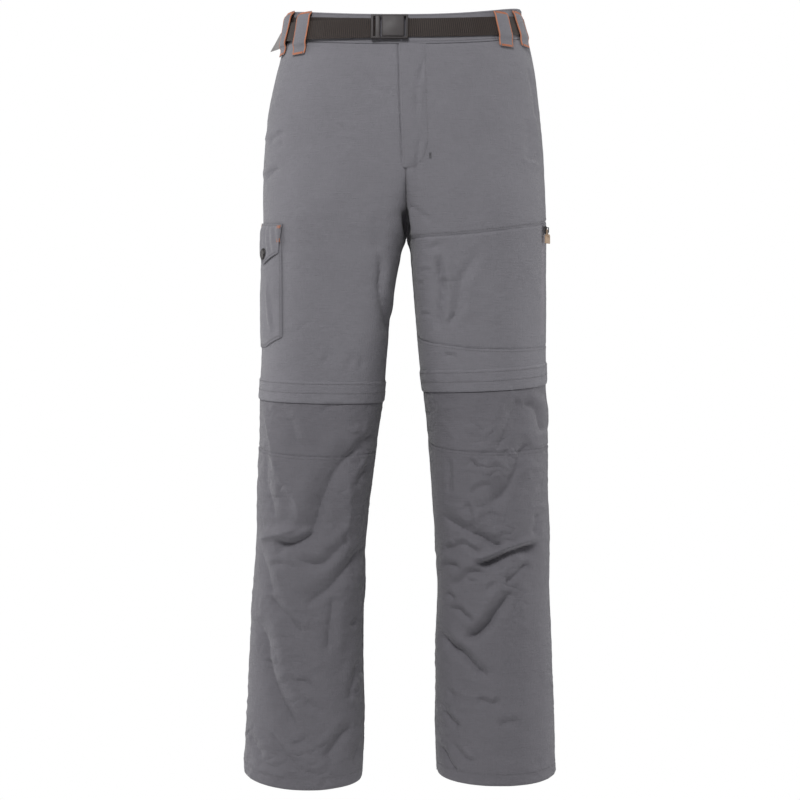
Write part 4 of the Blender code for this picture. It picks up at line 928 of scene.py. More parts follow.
def stitchBlock():
    # one stitch along x: a square rod with narrow rounded ends
    rings = []
    for x, radius in ((-0.5, 0.45), (-0.3, 1.0), (0.3, 1.0), (0.5, 0.45)):
        for corner in range(4):
            turn = math.pi / 4 + corner * math.pi / 2
            rings.append((x * stitch["length"], radius * stitch["radius"] * math.cos(turn),
                          radius * stitch["radius"] * math.sin(turn)))
    faces = [(3, 2, 1, 0), (12, 13, 14, 15)]
    for ring in range(3):
        for corner in range(4):
            after = (corner + 1) % 4
            faces.append((ring * 4 + corner, ring * 4 + after, ring * 4 + 4 + after, ring * 4 + 4 + corner))
    return np.array(rings), np.array(faces)


class Seams:
    # rows of stitches gathered into one object
    def __init__(self):
        self.places = []

    def row(self, path, skin):
        # path runs on the cloth, skin is the same path a little further in
        pitch = stitch["pitch"]
        steps = np.linalg.norm(np.diff(path, axis=0), axis=1)
        run = np.concatenate([[0.0], np.cumsum(steps)])
        count = int(run[-1] / pitch)
        if count < 1:
            return
        middle = (np.arange(count) + 0.5) * pitch
        ends = []
        for shift in (-0.3, 0.0, 0.3):
            along = middle + shift * stitch["length"]
            ends.append(np.stack([np.interp(along, run, path[:, k]) for k in range(3)], -1))
        skinAt = np.stack([np.interp(middle, run, skin[:, k]) for k in range(3)], -1)
        self.places.append(np.stack([ends[1], ends[2] - ends[0], ends[1] - skinAt], 1))

    def build(self, name):
        # one copy of the stitch at each place, turned along its row and away from the cloth
        places = np.concatenate(self.places)
        ahead = places[:, 1] / np.linalg.norm(places[:, 1], axis=1, keepdims=True)
        away = places[:, 2] - ahead * (places[:, 2] * ahead).sum(axis=1, keepdims=True)
        away = away / np.maximum(np.linalg.norm(away, axis=1, keepdims=True), 1e-9)
        across = np.cross(away, ahead)
        points, faces = stitchBlock()
        turned = (points[None, :, :1] * ahead[:, None] + points[None, :, 1:2] * across[:, None]
                  + points[None, :, 2:] * away[:, None] + places[:, None, 0])
        shifts = np.arange(len(places))[:, None, None] * len(points)
        obj = meshObject(name, turned, faces[None] + shifts, "thread", smoothAngle=60.0)
        return settle(obj, [])


def clothPath(side, face, shares, heights, out):
    # a row of stitches on the cloth, and the same row a little further in
    return bodySheet(side, face, shares, heights, out, 0.002)[:2]


def waistSeam(side, face):
    # the upper line of the panels
    return lambda parts: waistLine("seam", side, face, parts)


def edgeLine(side, name, face, raised=0.0):
    # one of the leg's seams, raised by so much
    return lambda parts: legEdge(name, side, face, parts) + raised


# Panels and guards
panelRow = 0.004                                     # stitches above the slanted seam on the left thigh
guard = {
    "height": 0.030, "cover": 0.012, "out": 0.0014, "wall": 0.0010, "rows": (0.004, 0.0165),
    "start": 0.002, "tuck": -0.0006,                 # where the lower leg starts, and how far it lies in
}


fly = {
    "width": 0.033, "overlap": 0.0035, "end": -0.212, "curve": 0.045, "foot": 0.004, "wall": 0.0011,
    "tapeHalf": 0.012, "tapeOut": -0.0030, "tapeWall": 0.0014,      # the zip's tape, behind the front
}


def underLap(toInner, heights):
    # the dark line beside the fly lap's edge, where the cloth under it is drawn in
    beside = np.exp(-((toInner - fly["overlap"] - 0.0010) / 0.0012) ** 2)
    return -0.0016 * beside * smoothStep((heights - fly["end"]) / 0.015)


def legPanels(side, letter):
    # every panel of one leg, from the waist seam down to the hem
    lines = {}
    for face in ("front", "back"):
        lines[face] = {
            "waist": waistSeam(side, face),
            "guard": edgeLine(side, "guard", face, guard["cover"]),
            "start": edgeLine(side, "guard", face, guard["start"]),
            "hem": edgeLine(side, "hem", face),
        }
    front = lines["front"]
    back = lines["back"]
    knee = edgeLine(side, "knee", "front")
    row = cloth["seamRow"]
    besideSeam = (("side", row),)
    inseam = tuple(("inner", distance) for distance in cloth["inseamRows"])
    if side == "right":
        panel("front_R", side, "front", front["waist"], front["guard"], "cloth", ends=(0.4, 1),
              lines=besideSeam, extra=underLap)
    else:
        split = edgeLine(side, "panel", "front")
        low = edgeLine(side, "pocket", "front")
        panel("front_hip_L", side, "front", front["waist"], split, "cloth", ends=(0.4, 0.35),
              lines=(("bottom", panelRow),) + besideSeam)
        panel("thigh_panel_L", side, "front", split, low, "cloth", ends=(0.35, 1.5), lines=besideSeam)
        panel("thigh_lower_L", side, "front", low, front["guard"], "cloth", ends=(1.5, 0.5),
              lines=(("top", row),))
    panel("back_" + letter, side, "back", back["waist"], back["guard"], "cloth", lines=besideSeam)
    tuck = guard["tuck"]
    panel("knee_" + letter, side, "front", front["start"], knee, "lower_cloth", tuck,
          ends=(0.5, 1), lines=inseam)
    panel("shin_" + letter, side, "front", knee, front["hem"], "lower_cloth", tuck,
          ends=(1, 0), lines=inseam + (("top", row), ("bottom", cloth["hemRow"])))
    panel("calf_" + letter, side, "back", back["start"], back["hem"], "lower_cloth", tuck,
          ends=(0.5, 0), lines=(("bottom", cloth["hemRow"]),))


def ring(name, side, high, low, out, wall, slotName, lines=(), step=0.0024):
    # a band all round a leg, between two heights above the guard's lower edge
    columns = spread(float(quarterLength(side, "front", -0.51)), step)
    rows = spread(high - low, 0.0016)[:, None] if high - low > 0.02 else np.linspace(0, 1, 6)[:, None]
    sheets = []
    for face, parts in (("front", columns), ("back", columns[::-1])):
        parts = parts[None, :-1]
        edge = legEdge("guard", side, face, parts)
        heights = edge + high + (low - high) * rows
        shares = np.clip(parts, 0.0, 1.0) + 0 * heights
        detail = -0.0006 * np.exp(-((high - low) * rows / 0.0012) ** 2)
        detail = detail - 0.0006 * np.exp(-((high - low) * (1 - rows) / 0.0012) ** 2)
        for distance in lines:
            detail = detail + valley((high - low) * rows - distance)
        if lines:
            detail = detail - 0.0009 * (1 - smoothStep((high - low) * rows / 0.006))
        detail = detail + 0.0002 * softNoise(shares * 0.3, heights * 0.2, 0 * heights, 0.007, 41)
        sheets.append(bodySheet(side, face, shares, heights, out + detail, wall))
    outer, inner, base = (np.concatenate([a, b], axis=1) for a, b in zip(*sheets))
    obj = shell("cloth_" + name, outer, inner, slotName, closed=True)
    settle(obj, [name], flatCut(base, closed=True) if slotName == "cloth" else None)


def guards(side, letter):
    # the band over the zip, and the zip under it
    ring("zip_guard_" + letter, side, guard["height"], 0.0, guard["out"], guard["wall"], "cloth",
         lines=guard["rows"])
    ring("zip_off_" + letter, side, guard["cover"] - seamGap, guard["start"] + seamGap, -lapGap, 0.0012,
         "zip_tape", step=0.004)


waistband = {"height": 0.042, "out": 0.0005, "wall": 0.0022, "topRow": 0.0022, "seamRow": 0.003}


def waistbands():
    # fronts and back: doubled cloth with a rounded fold along its top
    def grid(side, face, shares):
        # the band's two faces between its top and its seam
        top = waistLine("top", side, face, shares)[None, :]
        seam = waistLine("seam", side, face, shares)[None, :] + seamGap
        rows = spread(waistband["height"], 0.0026)[:, None]
        heights = top + (seam - top) * rows
        toTop = top - heights
        toSeam = heights - seam
        detail = -0.0008 * np.exp(-(toTop / 0.0010) ** 2) - 0.0005 * np.exp(-(toSeam / 0.0015) ** 2)
        detail = detail + valley(toTop - waistband["topRow"]) + valley(toSeam - waistband["seamRow"])
        wide = np.broadcast_to(shares[None, :], heights.shape)
        puckers = softNoise(wide * 0.3, heights * 0.3, 0 * heights, 0.005, 44)
        out = waistband["out"] + detail + 0.00015 * puckers
        return bodySheet(side, face, wide, heights, out, waistband["wall"])

    for side, letter in (("right", "R"), ("left", "L")):
        shares = spread(0.23, 0.0026)
        shares = shares[shares <= 1 - 0.0006]
        outer, inner, base = grid(side, "front", shares)
        obj = shell("cloth_waistband_front_" + letter, outer, inner, "cloth")
        settle(obj, ["waistband_front_" + letter], flatCut(base))
    shares = spread(0.24, 0.0034)
    right = grid("right", "back", shares)
    left = grid("left", "back", shares[::-1])
    outer, inner, base = (np.concatenate([a, b[:, 1:]], axis=1) for a, b in zip(right, left))
    obj = shell("cloth_waistband_back", outer, inner, "cloth")
    settle(obj, ["waistband_back"], flatCut(base))


def flyReach(heights):
    # the lap's outline: straight down, then a quarter ellipse back to the centre seam
    curve = np.clip((heights - fly["end"]) / fly["curve"], 0.0, 1.0)
    return (fly["width"] - fly["foot"]) * np.sqrt(1 - (1 - curve) ** 2) + fly["foot"]


def flyPieces():
    # the lap, thin where it is sewn down and thick beside its free edge, and the zip's tape under it
    seam = waistLines["seam"][0]
    rows = spread(seam - 2 * seamGap - fly["end"], 0.0024)
    heights = (seam - 2 * seamGap + (fly["end"] - seam + 2 * seamGap) * rows)[:, None]
    reach = flyReach(heights)
    across = spread(fly["width"], 0.0016)[None, :]
    distances = -fly["overlap"] + (reach + fly["overlap"]) * across
    thick = smoothStep((reach - distances) / 0.016)
    turnedEdge = 0.0004 * np.exp(-((distances + fly["overlap"]) / 0.0007) ** 2)
    out = 0.00006 + (lapGap + fly["wall"]) * thick - turnedEdge + 0.4 * valley(reach - distances - 0.0015)
    outer, base = aroundCentre("front", distances, heights, out)[::2]
    under = aroundCentre("front", distances, heights, lapGap * thick - 0.0002 * (1 - thick))[0]
    flat = np.stack([distances, heights + 0 * distances], -1)
    obj = shell("cloth_fly_lap", outer, under, "cloth", flat=flat)
    settle(obj, ["fly_lap"], flatCut(base))
    tall = np.linspace(seam - 0.004, fly["end"] + 0.004, 60)[:, None]
    wide = np.linspace(-fly["tapeHalf"], fly["tapeHalf"], 13)[None, :]
    outer, inner, base = aroundCentre("front", wide, tall, fly["tapeOut"], fly["tapeWall"])
    obj = shell("tape_fly_zip", outer, inner, "zip_tape")
    settle(obj, ["fly_zip"], flatCut(base))


# Cargo pocket
pocket = {
    "middle": 0.054, "half": 0.0395, "top": -0.290, "bottom": -0.436, "point": 0.012,
    "swell": 0.0030, "wall": 0.0015,
    "crease": 0.068, "creaseLean": -0.15, "creaseMiddle": -0.39, "creaseDepth": 0.0026,
    "creaseLow": -0.432, "creaseHigh": -0.350, "row": 0.003,
}
flap = {
    "top": -0.2795, "tilt": 0.0044, "side": -0.318, "point": 0.0172, "half": 0.0425, "taper": 0.16,
    "gap": 0.0004, "shift": 0.004, "wall": 0.0012, "row": 0.0025, "topRow": 0.002,
}


def pocketSwell(distances, heights):
    # a filled bag: a flattened parabola across, the power of a half sine up
    across = np.clip(1 - ((distances - pocket["middle"]) / pocket["half"]) ** 2, 0.0, 1.0) ** 0.6
    lowest = pocket["bottom"] - pocket["point"]
    up = (heights - lowest) / (pocket["top"] - lowest)
    return pocket["swell"] * across * np.sin(math.pi * np.clip(up, 0.0, 1.0)) ** 0.7


def pocketBottom(across):
    # slants down from the front corner to the middle, level behind it
    return pocket["bottom"] - pocket["point"] * (1 - np.clip(across, 0.0, 1.0))


def flapLines(across):
    # the flap's upper and lower lines: both slant, the lower one comes to a point in the middle
    upper = flap["top"] - flap["tilt"] * across
    return upper, flap["side"] - flap["tilt"] * across - flap["point"] * (1 - np.abs(across))


def flapOut(distances, heights, upper):
    # from the seam at its top out over the swollen bag
    lift = smoothStep((upper - heights) / (upper - pocket["top"]))
    over = pocket["wall"] + lapGap + flap["gap"] + pocketSwell(distances, heights - flap["shift"])
    return lapGap + lift * over + pocket["wall"]


def cargoBag():
    # the swollen bag with turned edges, one long soft crease and small rumples
    across = 2 * spread(2 * pocket["half"], 0.0020)[None, :] - 1
    bottom = pocketBottom(across)
    heights = pocket["top"] + (bottom - pocket["top"]) * spread(0.150, 0.0022)[:, None]
    wide = pocket["middle"] + pocket["half"] * across + 0 * heights
    toSide = pocket["half"] * (1 - np.abs(across)) + 0 * heights
    edge = -0.0007 * np.exp(-(toSide / 0.0012) ** 2) - 0.0007 * np.exp(-((heights - bottom) / 0.0012) ** 2)
    edge = edge + valley(toSide - pocket["row"]) + valley(heights - bottom - pocket["row"])
    fromCrease = wide - pocket["crease"] - pocket["creaseLean"] * (heights - pocket["creaseMiddle"])
    crease = pocket["creaseDepth"] * np.exp(-(fromCrease / 0.004) ** 2)
    crease = crease * smoothStep((heights - pocket["creaseLow"]) / 0.02)
    crease = crease * smoothStep((pocket["creaseHigh"] - heights) / 0.03)
    rumple = 0.0011 * softNoise(wide, heights * 0.8, 0 * heights, 0.014, 51) * smoothStep(toSide / 0.006)
    out = lapGap + pocket["wall"] + pocketSwell(wide, heights) + edge + crease + rumple
    outer, base = aroundSide("right", wide, heights, out)[::2]
    under = aroundSide("right", wide, heights, lapGap * 0.5)[0]
    obj = shell("cloth_cargo_bag_R", outer, under, "cloth", flat=np.stack([wide, heights], -1))
    settle(obj, ["cargo_bag_R"], flatCut(base))


def cargoFlap():
    # narrower towards its point, rippled between its seam and its lower edge
    across = 2 * spread(2 * flap["half"], 0.0018)[None, :] - 1
    upper, lower = flapLines(across)
    rows = spread(0.046, 0.0018)[:, None]
    heights = upper + (lower - upper) * rows
    wide = pocket["middle"] + flap["half"] * across * (1 - flap["taper"] * rows)
    toSide = flap["half"] * (1 - flap["taper"] * rows) * (1 - np.abs(across))
    edge = -0.0006 * (np.exp(-(toSide / 0.001) ** 2) + np.exp(-((heights - lower) / 0.001) ** 2))
    edge = edge + valley(toSide - flap["row"]) + valley(heights - lower - flap["row"])
    edge = edge + valley(upper - heights - flap["topRow"])
    ripple = 0.0008 * np.sin(2 * math.pi * wide / 0.013 + 2.2 * np.sin(heights * 60))
    ripple = ripple * smoothStep((upper - heights) / 0.010) * smoothStep((heights - lower) / 0.016)
    out = flapOut(wide, heights, upper) + edge + ripple
    outer, inner, base = aroundSide("right", wide, heights, out, flap["wall"])
    obj = shell("cloth_cargo_flap_R", outer, inner, "cloth", flat=np.stack([wide, heights], -1))
    settle(obj, ["cargo_flap_R"], flatCut(base))


# Belt and loops
belt = {
    "width": 0.0255, "wall": 0.0015, "out": 0.0013, "step": 0.0009,
    "startSag": 0.0015, "sag": 0.0095, "drop": 0.0005,          # how far the doubled end hangs lower
    "reach": 0.12, "flare": 0.020, "twist": 0.4,                # and how its end stands off behind the side
}
buckle = {"height": 0.0335, "out": 0.0012, "left": -0.0387, "right": 0.0107, "split": -0.0254,
          "hold": 0.0060, "holdLatch": 0.0035, "rail": 0.0030, "rise": 0.0030}
loops = {
    "width": 0.0210, "above": 0.0178, "tack": 0.0020, "lead": 0.0065, "room": 0.0015,
    "stand": 0.0036, "onBody": 0.0012, "backBelow": 0.0300,
    "lift": 0.0009, "bow": 0.0004, "half": 0.0006, "tackRadius": 0.00032,
    # name, leg, face, distance from the side seam, lean, reach below the belt's middle
    "rows": (
        ("front_R", "right", "front", 0.082, -0.03, 0.0382),
        ("side_R", "right", "front", 0.043, 0.20, 0.0380),
        ("front_L", "left", "front", 0.088, -0.15, 0.0287),
        ("side_L", "left", "front", 0.049, 0.0, 0.0287),
        ("back_R", "right", "back", 0.085, 0.0, 0.0300),
        ("back_L", "left", "back", 0.085, 0.0, 0.0300),
    ),
}


def strapPoints(side, face, shares, across, sag, out):
    # the belt's line on the body, widened up and down by half the strap
    middle = waistLine("belt", side, face, shares)[None, :] - sag
    heights = middle + belt["width"] * (0.5 - across)[:, None]
    return bodySheet(side, face, np.broadcast_to(shares[None, :], heights.shape), heights, out, 0.0)[0]


def strap(name, pieces, material, nodes, base, ribs, highlightFrom=None):
    # pieces are (side, face, shares, sag, flare); the strap is ribbed across, thinner at its edges
    across = np.array([0, 0.02, 0.05, 0.12, 0.25, 0.4, 0.55, 0.7, 0.85, 0.93, 0.97, 1.0])
    edge = -0.0004 * (np.exp(-(across / 0.03) ** 2) + np.exp(-((1 - across) / 0.03) ** 2))[:, None]
    middle = []
    for side, face, shares, sag, flare in pieces:
        middle.append(strapPoints(side, face, shares, np.array([0.5]), sag, base)[0])
    middle = np.concatenate(middle)
    run = np.concatenate([[0.0], np.cumsum(np.linalg.norm(np.diff(middle, axis=0), axis=1))])
    rib = ribs * (np.abs(np.sin(math.pi * run / webbing["rib"])) - 0.5)
    outers = []
    inners = []
    start = 0
    for side, face, shares, sag, flare in pieces:
        here = rib[start:start + len(shares)][None, :]
        start += len(shares)
        lift = flare[None, :] * (belt["twist"] + (1 - belt["twist"]) * across[:, None])
        above = base + lift + belt["wall"] + edge + here
        outers.append(strapPoints(side, face, shares, across, sag, above))
        inners.append(strapPoints(side, face, shares, across, sag, base + lift - edge - here))
    outer = np.concatenate(outers, axis=1)
    inner = np.concatenate(inners, axis=1)
    still = 0 * outer[..., 0]
    flat = np.stack([run[None, :] + still, belt["width"] * across[:, None] + still], -1)
    obj = shell(name, outer, inner, material, flat=flat)
    # the free end past the side seam takes the pale colour: a painted highlight on the webbing
    if highlightFrom is not None:
        obj.data.materials.append(materials["webbing_painted_highlight"])
        corner = np.empty(len(obj.data.polygons), dtype=np.int32)
        obj.data.polygons.foreach_get("loop_start", corner)
        vertex = np.empty(len(obj.data.loops), dtype=np.int32)
        obj.data.loops.foreach_get("vertex_index", vertex)
        pale = vertex[corner] % outer.shape[1] >= highlightFrom
        obj.data.polygons.foreach_set("material_index", pale.astype(np.int32))
    cut = (float(run[-1]), belt["width"], float(run[-1]) * belt["width"])
    return settle(obj, nodes, cut)


def beltPieces():
    # the strap round the waist, then the doubled end that runs back from the buckle past the side seam
    centre = float(innerLine("left", np.array(waistLines["belt"][0])))
    ends = {"right": centre - buckle["left"] - buckle["hold"],
            "left": buckle["right"] - centre - buckle["holdLatch"]}
    length = {key: float(quarterLength(key[0], key[1], -0.01)) for key in quarters}
    rightEnd = 1 - ends["right"] / length["right", "front"]
    leftEnd = 1 - ends["left"] / length["left", "front"]

    def run(side, face, start, end):
        # even shares of a quarter, without the first
        count = int(abs(end - start) * length[side, face] / belt["step"])
        return np.linspace(start, end, count)[1:]

    pieces = []
    for side, face, start, end in (("left", "front", leftEnd, 0.0), ("left", "back", 0.0, 1.0),
                                   ("right", "back", 1.0, 0.0), ("right", "front", 0.0, rightEnd)):
        shares = run(side, face, start, end)
        pieces.append((side, face, shares, 0 * shares, 0 * shares))
    strap("strap_belt", pieces, "webbing", ["belt_webbing"], belt["out"], webbing["ribDepth"])
    base = belt["out"] + belt["wall"] + lapGap
    held = run("right", "front", rightEnd, 0.0)
    sag = belt["sag"] + (belt["startSag"] - belt["sag"]) * held / held[0]
    free = run("right", "back", 0.0, belt["reach"])
    past = free / belt["reach"]
    pieces = [("right", "front", held, sag, 0 * held),
              ("right", "back", free, belt["sag"] + belt["drop"] * past, belt["flare"] * past ** 1.5)]
    strap("strap_tail", pieces, "webbing", ["belt_tail"], base, webbing["ribDepth"], len(held))


def loopProfile(below, sag, stand):
    # heights over the belt's middle and distances from the body: flat, up over the strap, flat again
    half = belt["width"] / 2
    flatOut = loops["onBody"]
    return np.array([(-below, flatOut), (-half - sag - loops["lead"], flatOut),
                     (-half - sag - loops["room"], stand), (half + loops["room"], stand),
                     (loops["above"], flatOut), (loops["above"] + loops["tack"], flatOut)])


def beltLoop(name, points, profile):
    # points(across, height, out) places a loop; its profile bulges smoothly over the belt
    rows = np.linspace(0, 1, 40)
    knots = np.concatenate([[0.0], np.cumsum(np.linalg.norm(np.diff(profile, axis=0), axis=1))])
    heights = np.interp(rows, knots / knots[-1], profile[:, 0])
    raw = np.interp(rows, knots / knots[-1], profile[:, 1])
    kernel = np.ones(5) / 5
    out = np.convolve(np.pad(raw, 2, mode="edge"), kernel, mode="valid")
    half = loops["width"] / 2
    across = np.linspace(-half, half, 13)
    bow = loops["bow"] * (1 - (across / half) ** 2)
    lift = out[:, None] + bow[None, :] + loops["lift"]
    outer = points(across[None, :], heights[:, None], lift + loops["half"])
    inner = points(across[None, :], heights[:, None], lift - 0.0009)
    obj = shell("cloth_" + name, outer, inner, "loops")
    length = float(knots[-1])
    settle(obj, [name], (loops["width"], length, loops["width"] * length))
    cords = []
    for end in (-1, 1):
        path = points(np.full(40, end * half), heights, out + loops["lift"])
        cords.append(tube(path, piping["radius"]))
    for low, high in ((0.0004, 0.0026), (knots[-1] - 0.0028, knots[-1] - 0.0004)):
        level = np.interp(np.linspace(low, high, 5), knots, profile[:, 0])
        for height in level:
            wide = np.linspace(-half * 0.86, half * 0.86, 15)
            lifted = np.interp(height, heights, out) + 0.0019
            path = points(wide, np.full(15, height), np.full(15, lifted))
            cords.append(tube(path, loops["tackRadius"], 5))
    joined("piping_" + name, cords, "piping")


def beltLoops():
    # six loops by their rows and one over the centre seam; two of them also hold the doubled end
    for name, side, face, distance, slant, below in loops["rows"]:
        overTail = side == "right" and face == "front"
        stand = loops["stand"] + (belt["wall"] + lapGap if overTail else 0.0)
        sag = belt["sag"] if overTail else 0.0
        signed = distance if face == "front" else -distance
        share = distance / float(quarterLength(side, face, -0.01))
        middle = float(waistLine("belt", side, face, np.array([share]))[0])

        def points(across, heights, out, side=side, signed=signed, slant=slant, middle=middle):
            return aroundSide(side, signed + slant * heights + across, middle + heights, out)[0]

        beltLoop("loop_" + name, points, loopProfile(below, sag, stand))
    middle = waistLines["belt"][3]

    def centre(across, heights, out):
        return aroundCentre("back", across, middle + heights, out)[0]

    beltLoop("loop_back_centre", centre, loopProfile(loops["backBelow"], 0.0, loops["stand"]))


def blocksObject(name, blocks, nodes, turn, place):
    # blocks in their own axes, turned about x and moved to their place
    made = bpy.data.meshes.new(name)
    work = bmesh.new()
    for size, bevel, where in blocks:
        cube = bmesh.ops.create_cube(work, size=1.0)["verts"]
        bmesh.ops.scale(work, vec=Vector(size), verts=cube)
        edges = list({edge for vertex in cube for edge in vertex.link_edges})
        rounded = bmesh.ops.bevel(work, geom=edges, offset=bevel, segments=3, affect="EDGES", profile=0.5)
        bmesh.ops.translate(work, vec=Vector(where), verts=rounded["verts"])
    cosine = math.cos(turn)
    sine = math.sin(turn)
    for vertex in work.verts:
        x, y, z = vertex.co
        vertex.co = (x + place[0], y * cosine - z * sine + place[1], y * sine + z * cosine + place[2])
    work.to_mesh(made)
    work.free()
    made.shade_smooth()
    made.set_sharp_from_angle(angle=math.radians(50.0))
    made.materials.append(materials["buckle"])
    obj = bpy.data.objects.new(name, made)
    bpy.context.scene.collection.objects.link(obj)
    settle(obj, nodes)


def beltBuckle():
    # two halves fastened together: a raised block between slots, in one frame
    middle = waistLines["belt"][0]
    half = buckle["height"] / 2
    ends = aroundCentre("front", np.zeros(2), np.array([middle - half, middle + half]), np.zeros(2))[2]
    lean = math.atan2(ends[1, 1] - ends[0, 1], buckle["height"])
    away = np.array([0.0, -math.cos(lean), math.sin(lean)])
    y = float(ends[:, 1].mean())
    place = np.array([0.0, y, middle]) + away * (buckle["out"] + buckle["rise"])
    rail = buckle["rail"]
    level = half - rail / 2
    left = buckle["left"]
    right = buckle["right"]
    split = buckle["split"]

    def bar(start, end, depth, tall, z=0.0, bevel=0.0009, forward=0.0):
        # size, edge and middle of one block between two places along the belt
        return ((end - start, depth, tall), bevel, ((start + end) / 2, -forward, z))

    body = [bar(-0.0243, 0.0055, 0.0074, 0.0290, bevel=0.0016, forward=0.0012),
            bar(0.0080, right, 0.0056, 2 * half, bevel=0.0012)]
    latch = [bar(left, -0.0352, 0.0052, 2 * half, bevel=0.0012),
             bar(-0.0330, -0.0267, 0.0048, 2 * half - 0.003)]
    for end in (-1, 1):
        body.append(bar(split + 0.0002, right, 0.0056, rail, end * level, 0.0011))
        latch.append(bar(left, split - 0.0002, 0.0052, rail, end * level, 0.0011))
    blocksObject("buckle_body_look", body, ["buckle_body"], -lean, place)
    blocksObject("buckle_latch_look", latch, ["buckle_latch"], -lean, place)


snap = {"place": (-0.1882, -0.0561, -0.3215), "distance": 0.0545, "ring": 0.0078, "wire": 0.0007,
        "under": 0.0012}
sideZip = {"top": -0.2815, "length": 0.150, "width": 0.013, "distance": 0.050, "wall": 0.0009,
           "out": 0.0006, "slider": (0.1996, -0.0504, -0.2881)}


def snapRim():
    # a low ring round the cap, square to the flap
    place = np.array(snap["place"])
    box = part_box("snap_cap")
    centre = np.array([(low + high) / 2 for low, high in zip(*box)])
    seat = aroundSide("right", np.array([snap["distance"]]), place[2:], np.zeros(1))[0][0]
    away = place - seat
    away /= np.linalg.norm(away)
    side = np.cross(away, np.array([0.0, 0.0, 1.0]))
    up = np.cross(side, away)
    turn = np.linspace(0, 2 * math.pi, 41)
    circle = np.cos(turn)[:, None] * side + np.sin(turn)[:, None] * up
    path = centre - away * snap["under"] + snap["ring"] * circle
    joined("snap_rim", [tube(path, snap["wire"])], "snap")


def sideZipPieces():
    # a tape that thins towards its borders, with a narrow groove where its two sides meet
    rows = np.linspace(sideZip["top"], sideZip["top"] - sideZip["length"], 80)[:, None]
    across = np.linspace(-0.5, 0.5, 13)[None, :] * sideZip["width"]
    groove = 0.0004 * np.exp(-(across / 0.0009) ** 2)
    borders = smoothStep((sideZip["width"] / 2 - np.abs(across)) / 0.004)
    out = sideZip["out"] * borders - groove + 0 * rows
    outer, inner, base = aroundSide("left", sideZip["distance"] + across, rows, out, sideZip["wall"])
    obj = shell("tape_side_zip", outer, inner, "side_tape")
    settle(obj, ["side_zip_L"], flatCut(base))


# Rows of stitches
rowLift = 0.0001


def sewLeg(side, letter):
    # rows along the waist, the seams, the guard and the hem of one leg
    seams = Seams()
    parts = np.linspace(0.0, 1.0, 400)

    def along(face, name, raised, out):
        # a row at one height over a leg seam
        heights = legEdge(name, side, face, parts) + raised
        seams.row(*clothPath(side, face, partShares(side, face, parts, heights), heights, out))

    def upright(face, end, distance, reach, out):
        # a row at one distance from the side or inner seam
        heights = np.linspace(*reach, 500)
        share = distance / quarterLength(side, face, heights)
        seams.row(*clothPath(side, face, share if end == "side" else 1 - share, heights, out))

    tuck = guard["tuck"] + rowLift
    band = waistband["out"] + rowLift
    for face in ("front", "back"):
        for distance in guard["rows"]:
            along(face, "guard", guard["height"] - distance, guard["out"] + rowLift)
        along(face, "hem", cloth["hemRow"], tuck)
        heights = waistLine("seam", side, face, parts) + waistband["seamRow"]
        seams.row(*clothPath(side, face, parts, heights, band))
        heights = waistLine("top", side, face, parts) - waistband["topRow"]
        seams.row(*clothPath(side, face, parts, heights, band))
    along("front", "knee", -cloth["seamRow"], tuck)
    for distance in cloth["inseamRows"]:
        upright("front", "inner", distance, cloth["inseamReach"], tuck)
    for face in ("front", "back"):
        upright(face, "side", cloth["seamRow"], cloth["sideReach"], rowLift)
    if side == "left":
        along("front", "panel", panelRow, rowLift)
        along("front", "pocket", -cloth["seamRow"], rowLift)
    seams.build("stitches_" + letter)


def sewPocket():
    # rows on the fly lap, round the cargo bag and along the flap
    seams = Seams()

    def onPocket(distances, heights, out):
        seams.row(*aroundSide("right", distances, heights, out, 0.002)[:2])

    heights = np.linspace(waistLines["seam"][0] - 0.002, fly["end"] + 0.001, 300)
    for reach, out in ((flyReach(heights) - 0.002, 0.0003), (np.full(300, -0.0012), lapGap + fly["wall"])):
        seams.row(*aroundCentre("front", reach, heights, np.full(300, out), 0.002)[:2])
    across = np.linspace(-1, 1, 200)
    onBag = lapGap + pocket["wall"] + rowLift
    bottom = pocketBottom(across) + pocket["row"]
    wide = pocket["middle"] + (pocket["half"] - pocket["row"]) * across
    onPocket(wide, bottom, onBag + pocketSwell(wide, bottom))
    for end in (-1, 1):
        tall = np.linspace(-0.322, pocket["bottom"], 120)
        wide = np.full(120, pocket["middle"] + end * (pocket["half"] - pocket["row"]))
        onPocket(wide, tall, onBag + pocketSwell(wide, tall))
    upper, lower = flapLines(across)
    for line, taper in ((upper - flap["topRow"], 0.0), (lower + flap["row"], 1.0)):
        wide = pocket["middle"] + (flap["half"] - flap["row"]) * across * (1 - flap["taper"] * taper)
        onPocket(wide, line, flapOut(wide, line, upper) + rowLift)
    seams.build("stitches_pocket")


def barTacks():
    # short dense rows of thread across a line
    tacks = []

    def tack(path):
        tacks.append(tube(path, stitch["tackRadius"], 5))

    for lift in np.linspace(0.0015, 0.0050, 5):
        for end in (-1, 1):
            wide = pocket["middle"] + end * np.linspace(flap["half"] - 0.0095, flap["half"] - 0.0012, 9)
            height = np.full(9, flap["top"] - end * flap["tilt"] - lift)
            out = flapOut(wide, height, height + lift) + 0.0002
            tack(aroundSide("right", wide, height, out)[0])
    for height in np.linspace(-0.3035, -0.3075, 5):
        wide = pocket["middle"] + pocket["half"] + np.linspace(-0.006, 0.001, 7)
        level = np.full(7, height)
        tack(aroundSide("right", wide, level, flapOut(wide, level, flap["top"]))[0])
    joined("tacks_flap", tacks, "piping")
    tacks.clear()
    for height in np.linspace(-0.192, -0.199, 8):
        wide = np.linspace(0.0315, 0.0350, 5)
        tack(aroundCentre("front", wide, np.full(5, height), np.full(5, 0.0004))[0])
    joined("tacks_fly", tacks, "thread")


def carriedNodes():
    # solids shown as they are
    for name, material, slotName in (("snap_cap", "snap", "snap"), ("slider_L", "slider", "slider"),
                                     ("pull_tab_L", "pull_tab", "pull_tab")):
        node = bpy.data.objects[name]
        node.data.materials.clear()
        node.data.materials.append(materials[material])


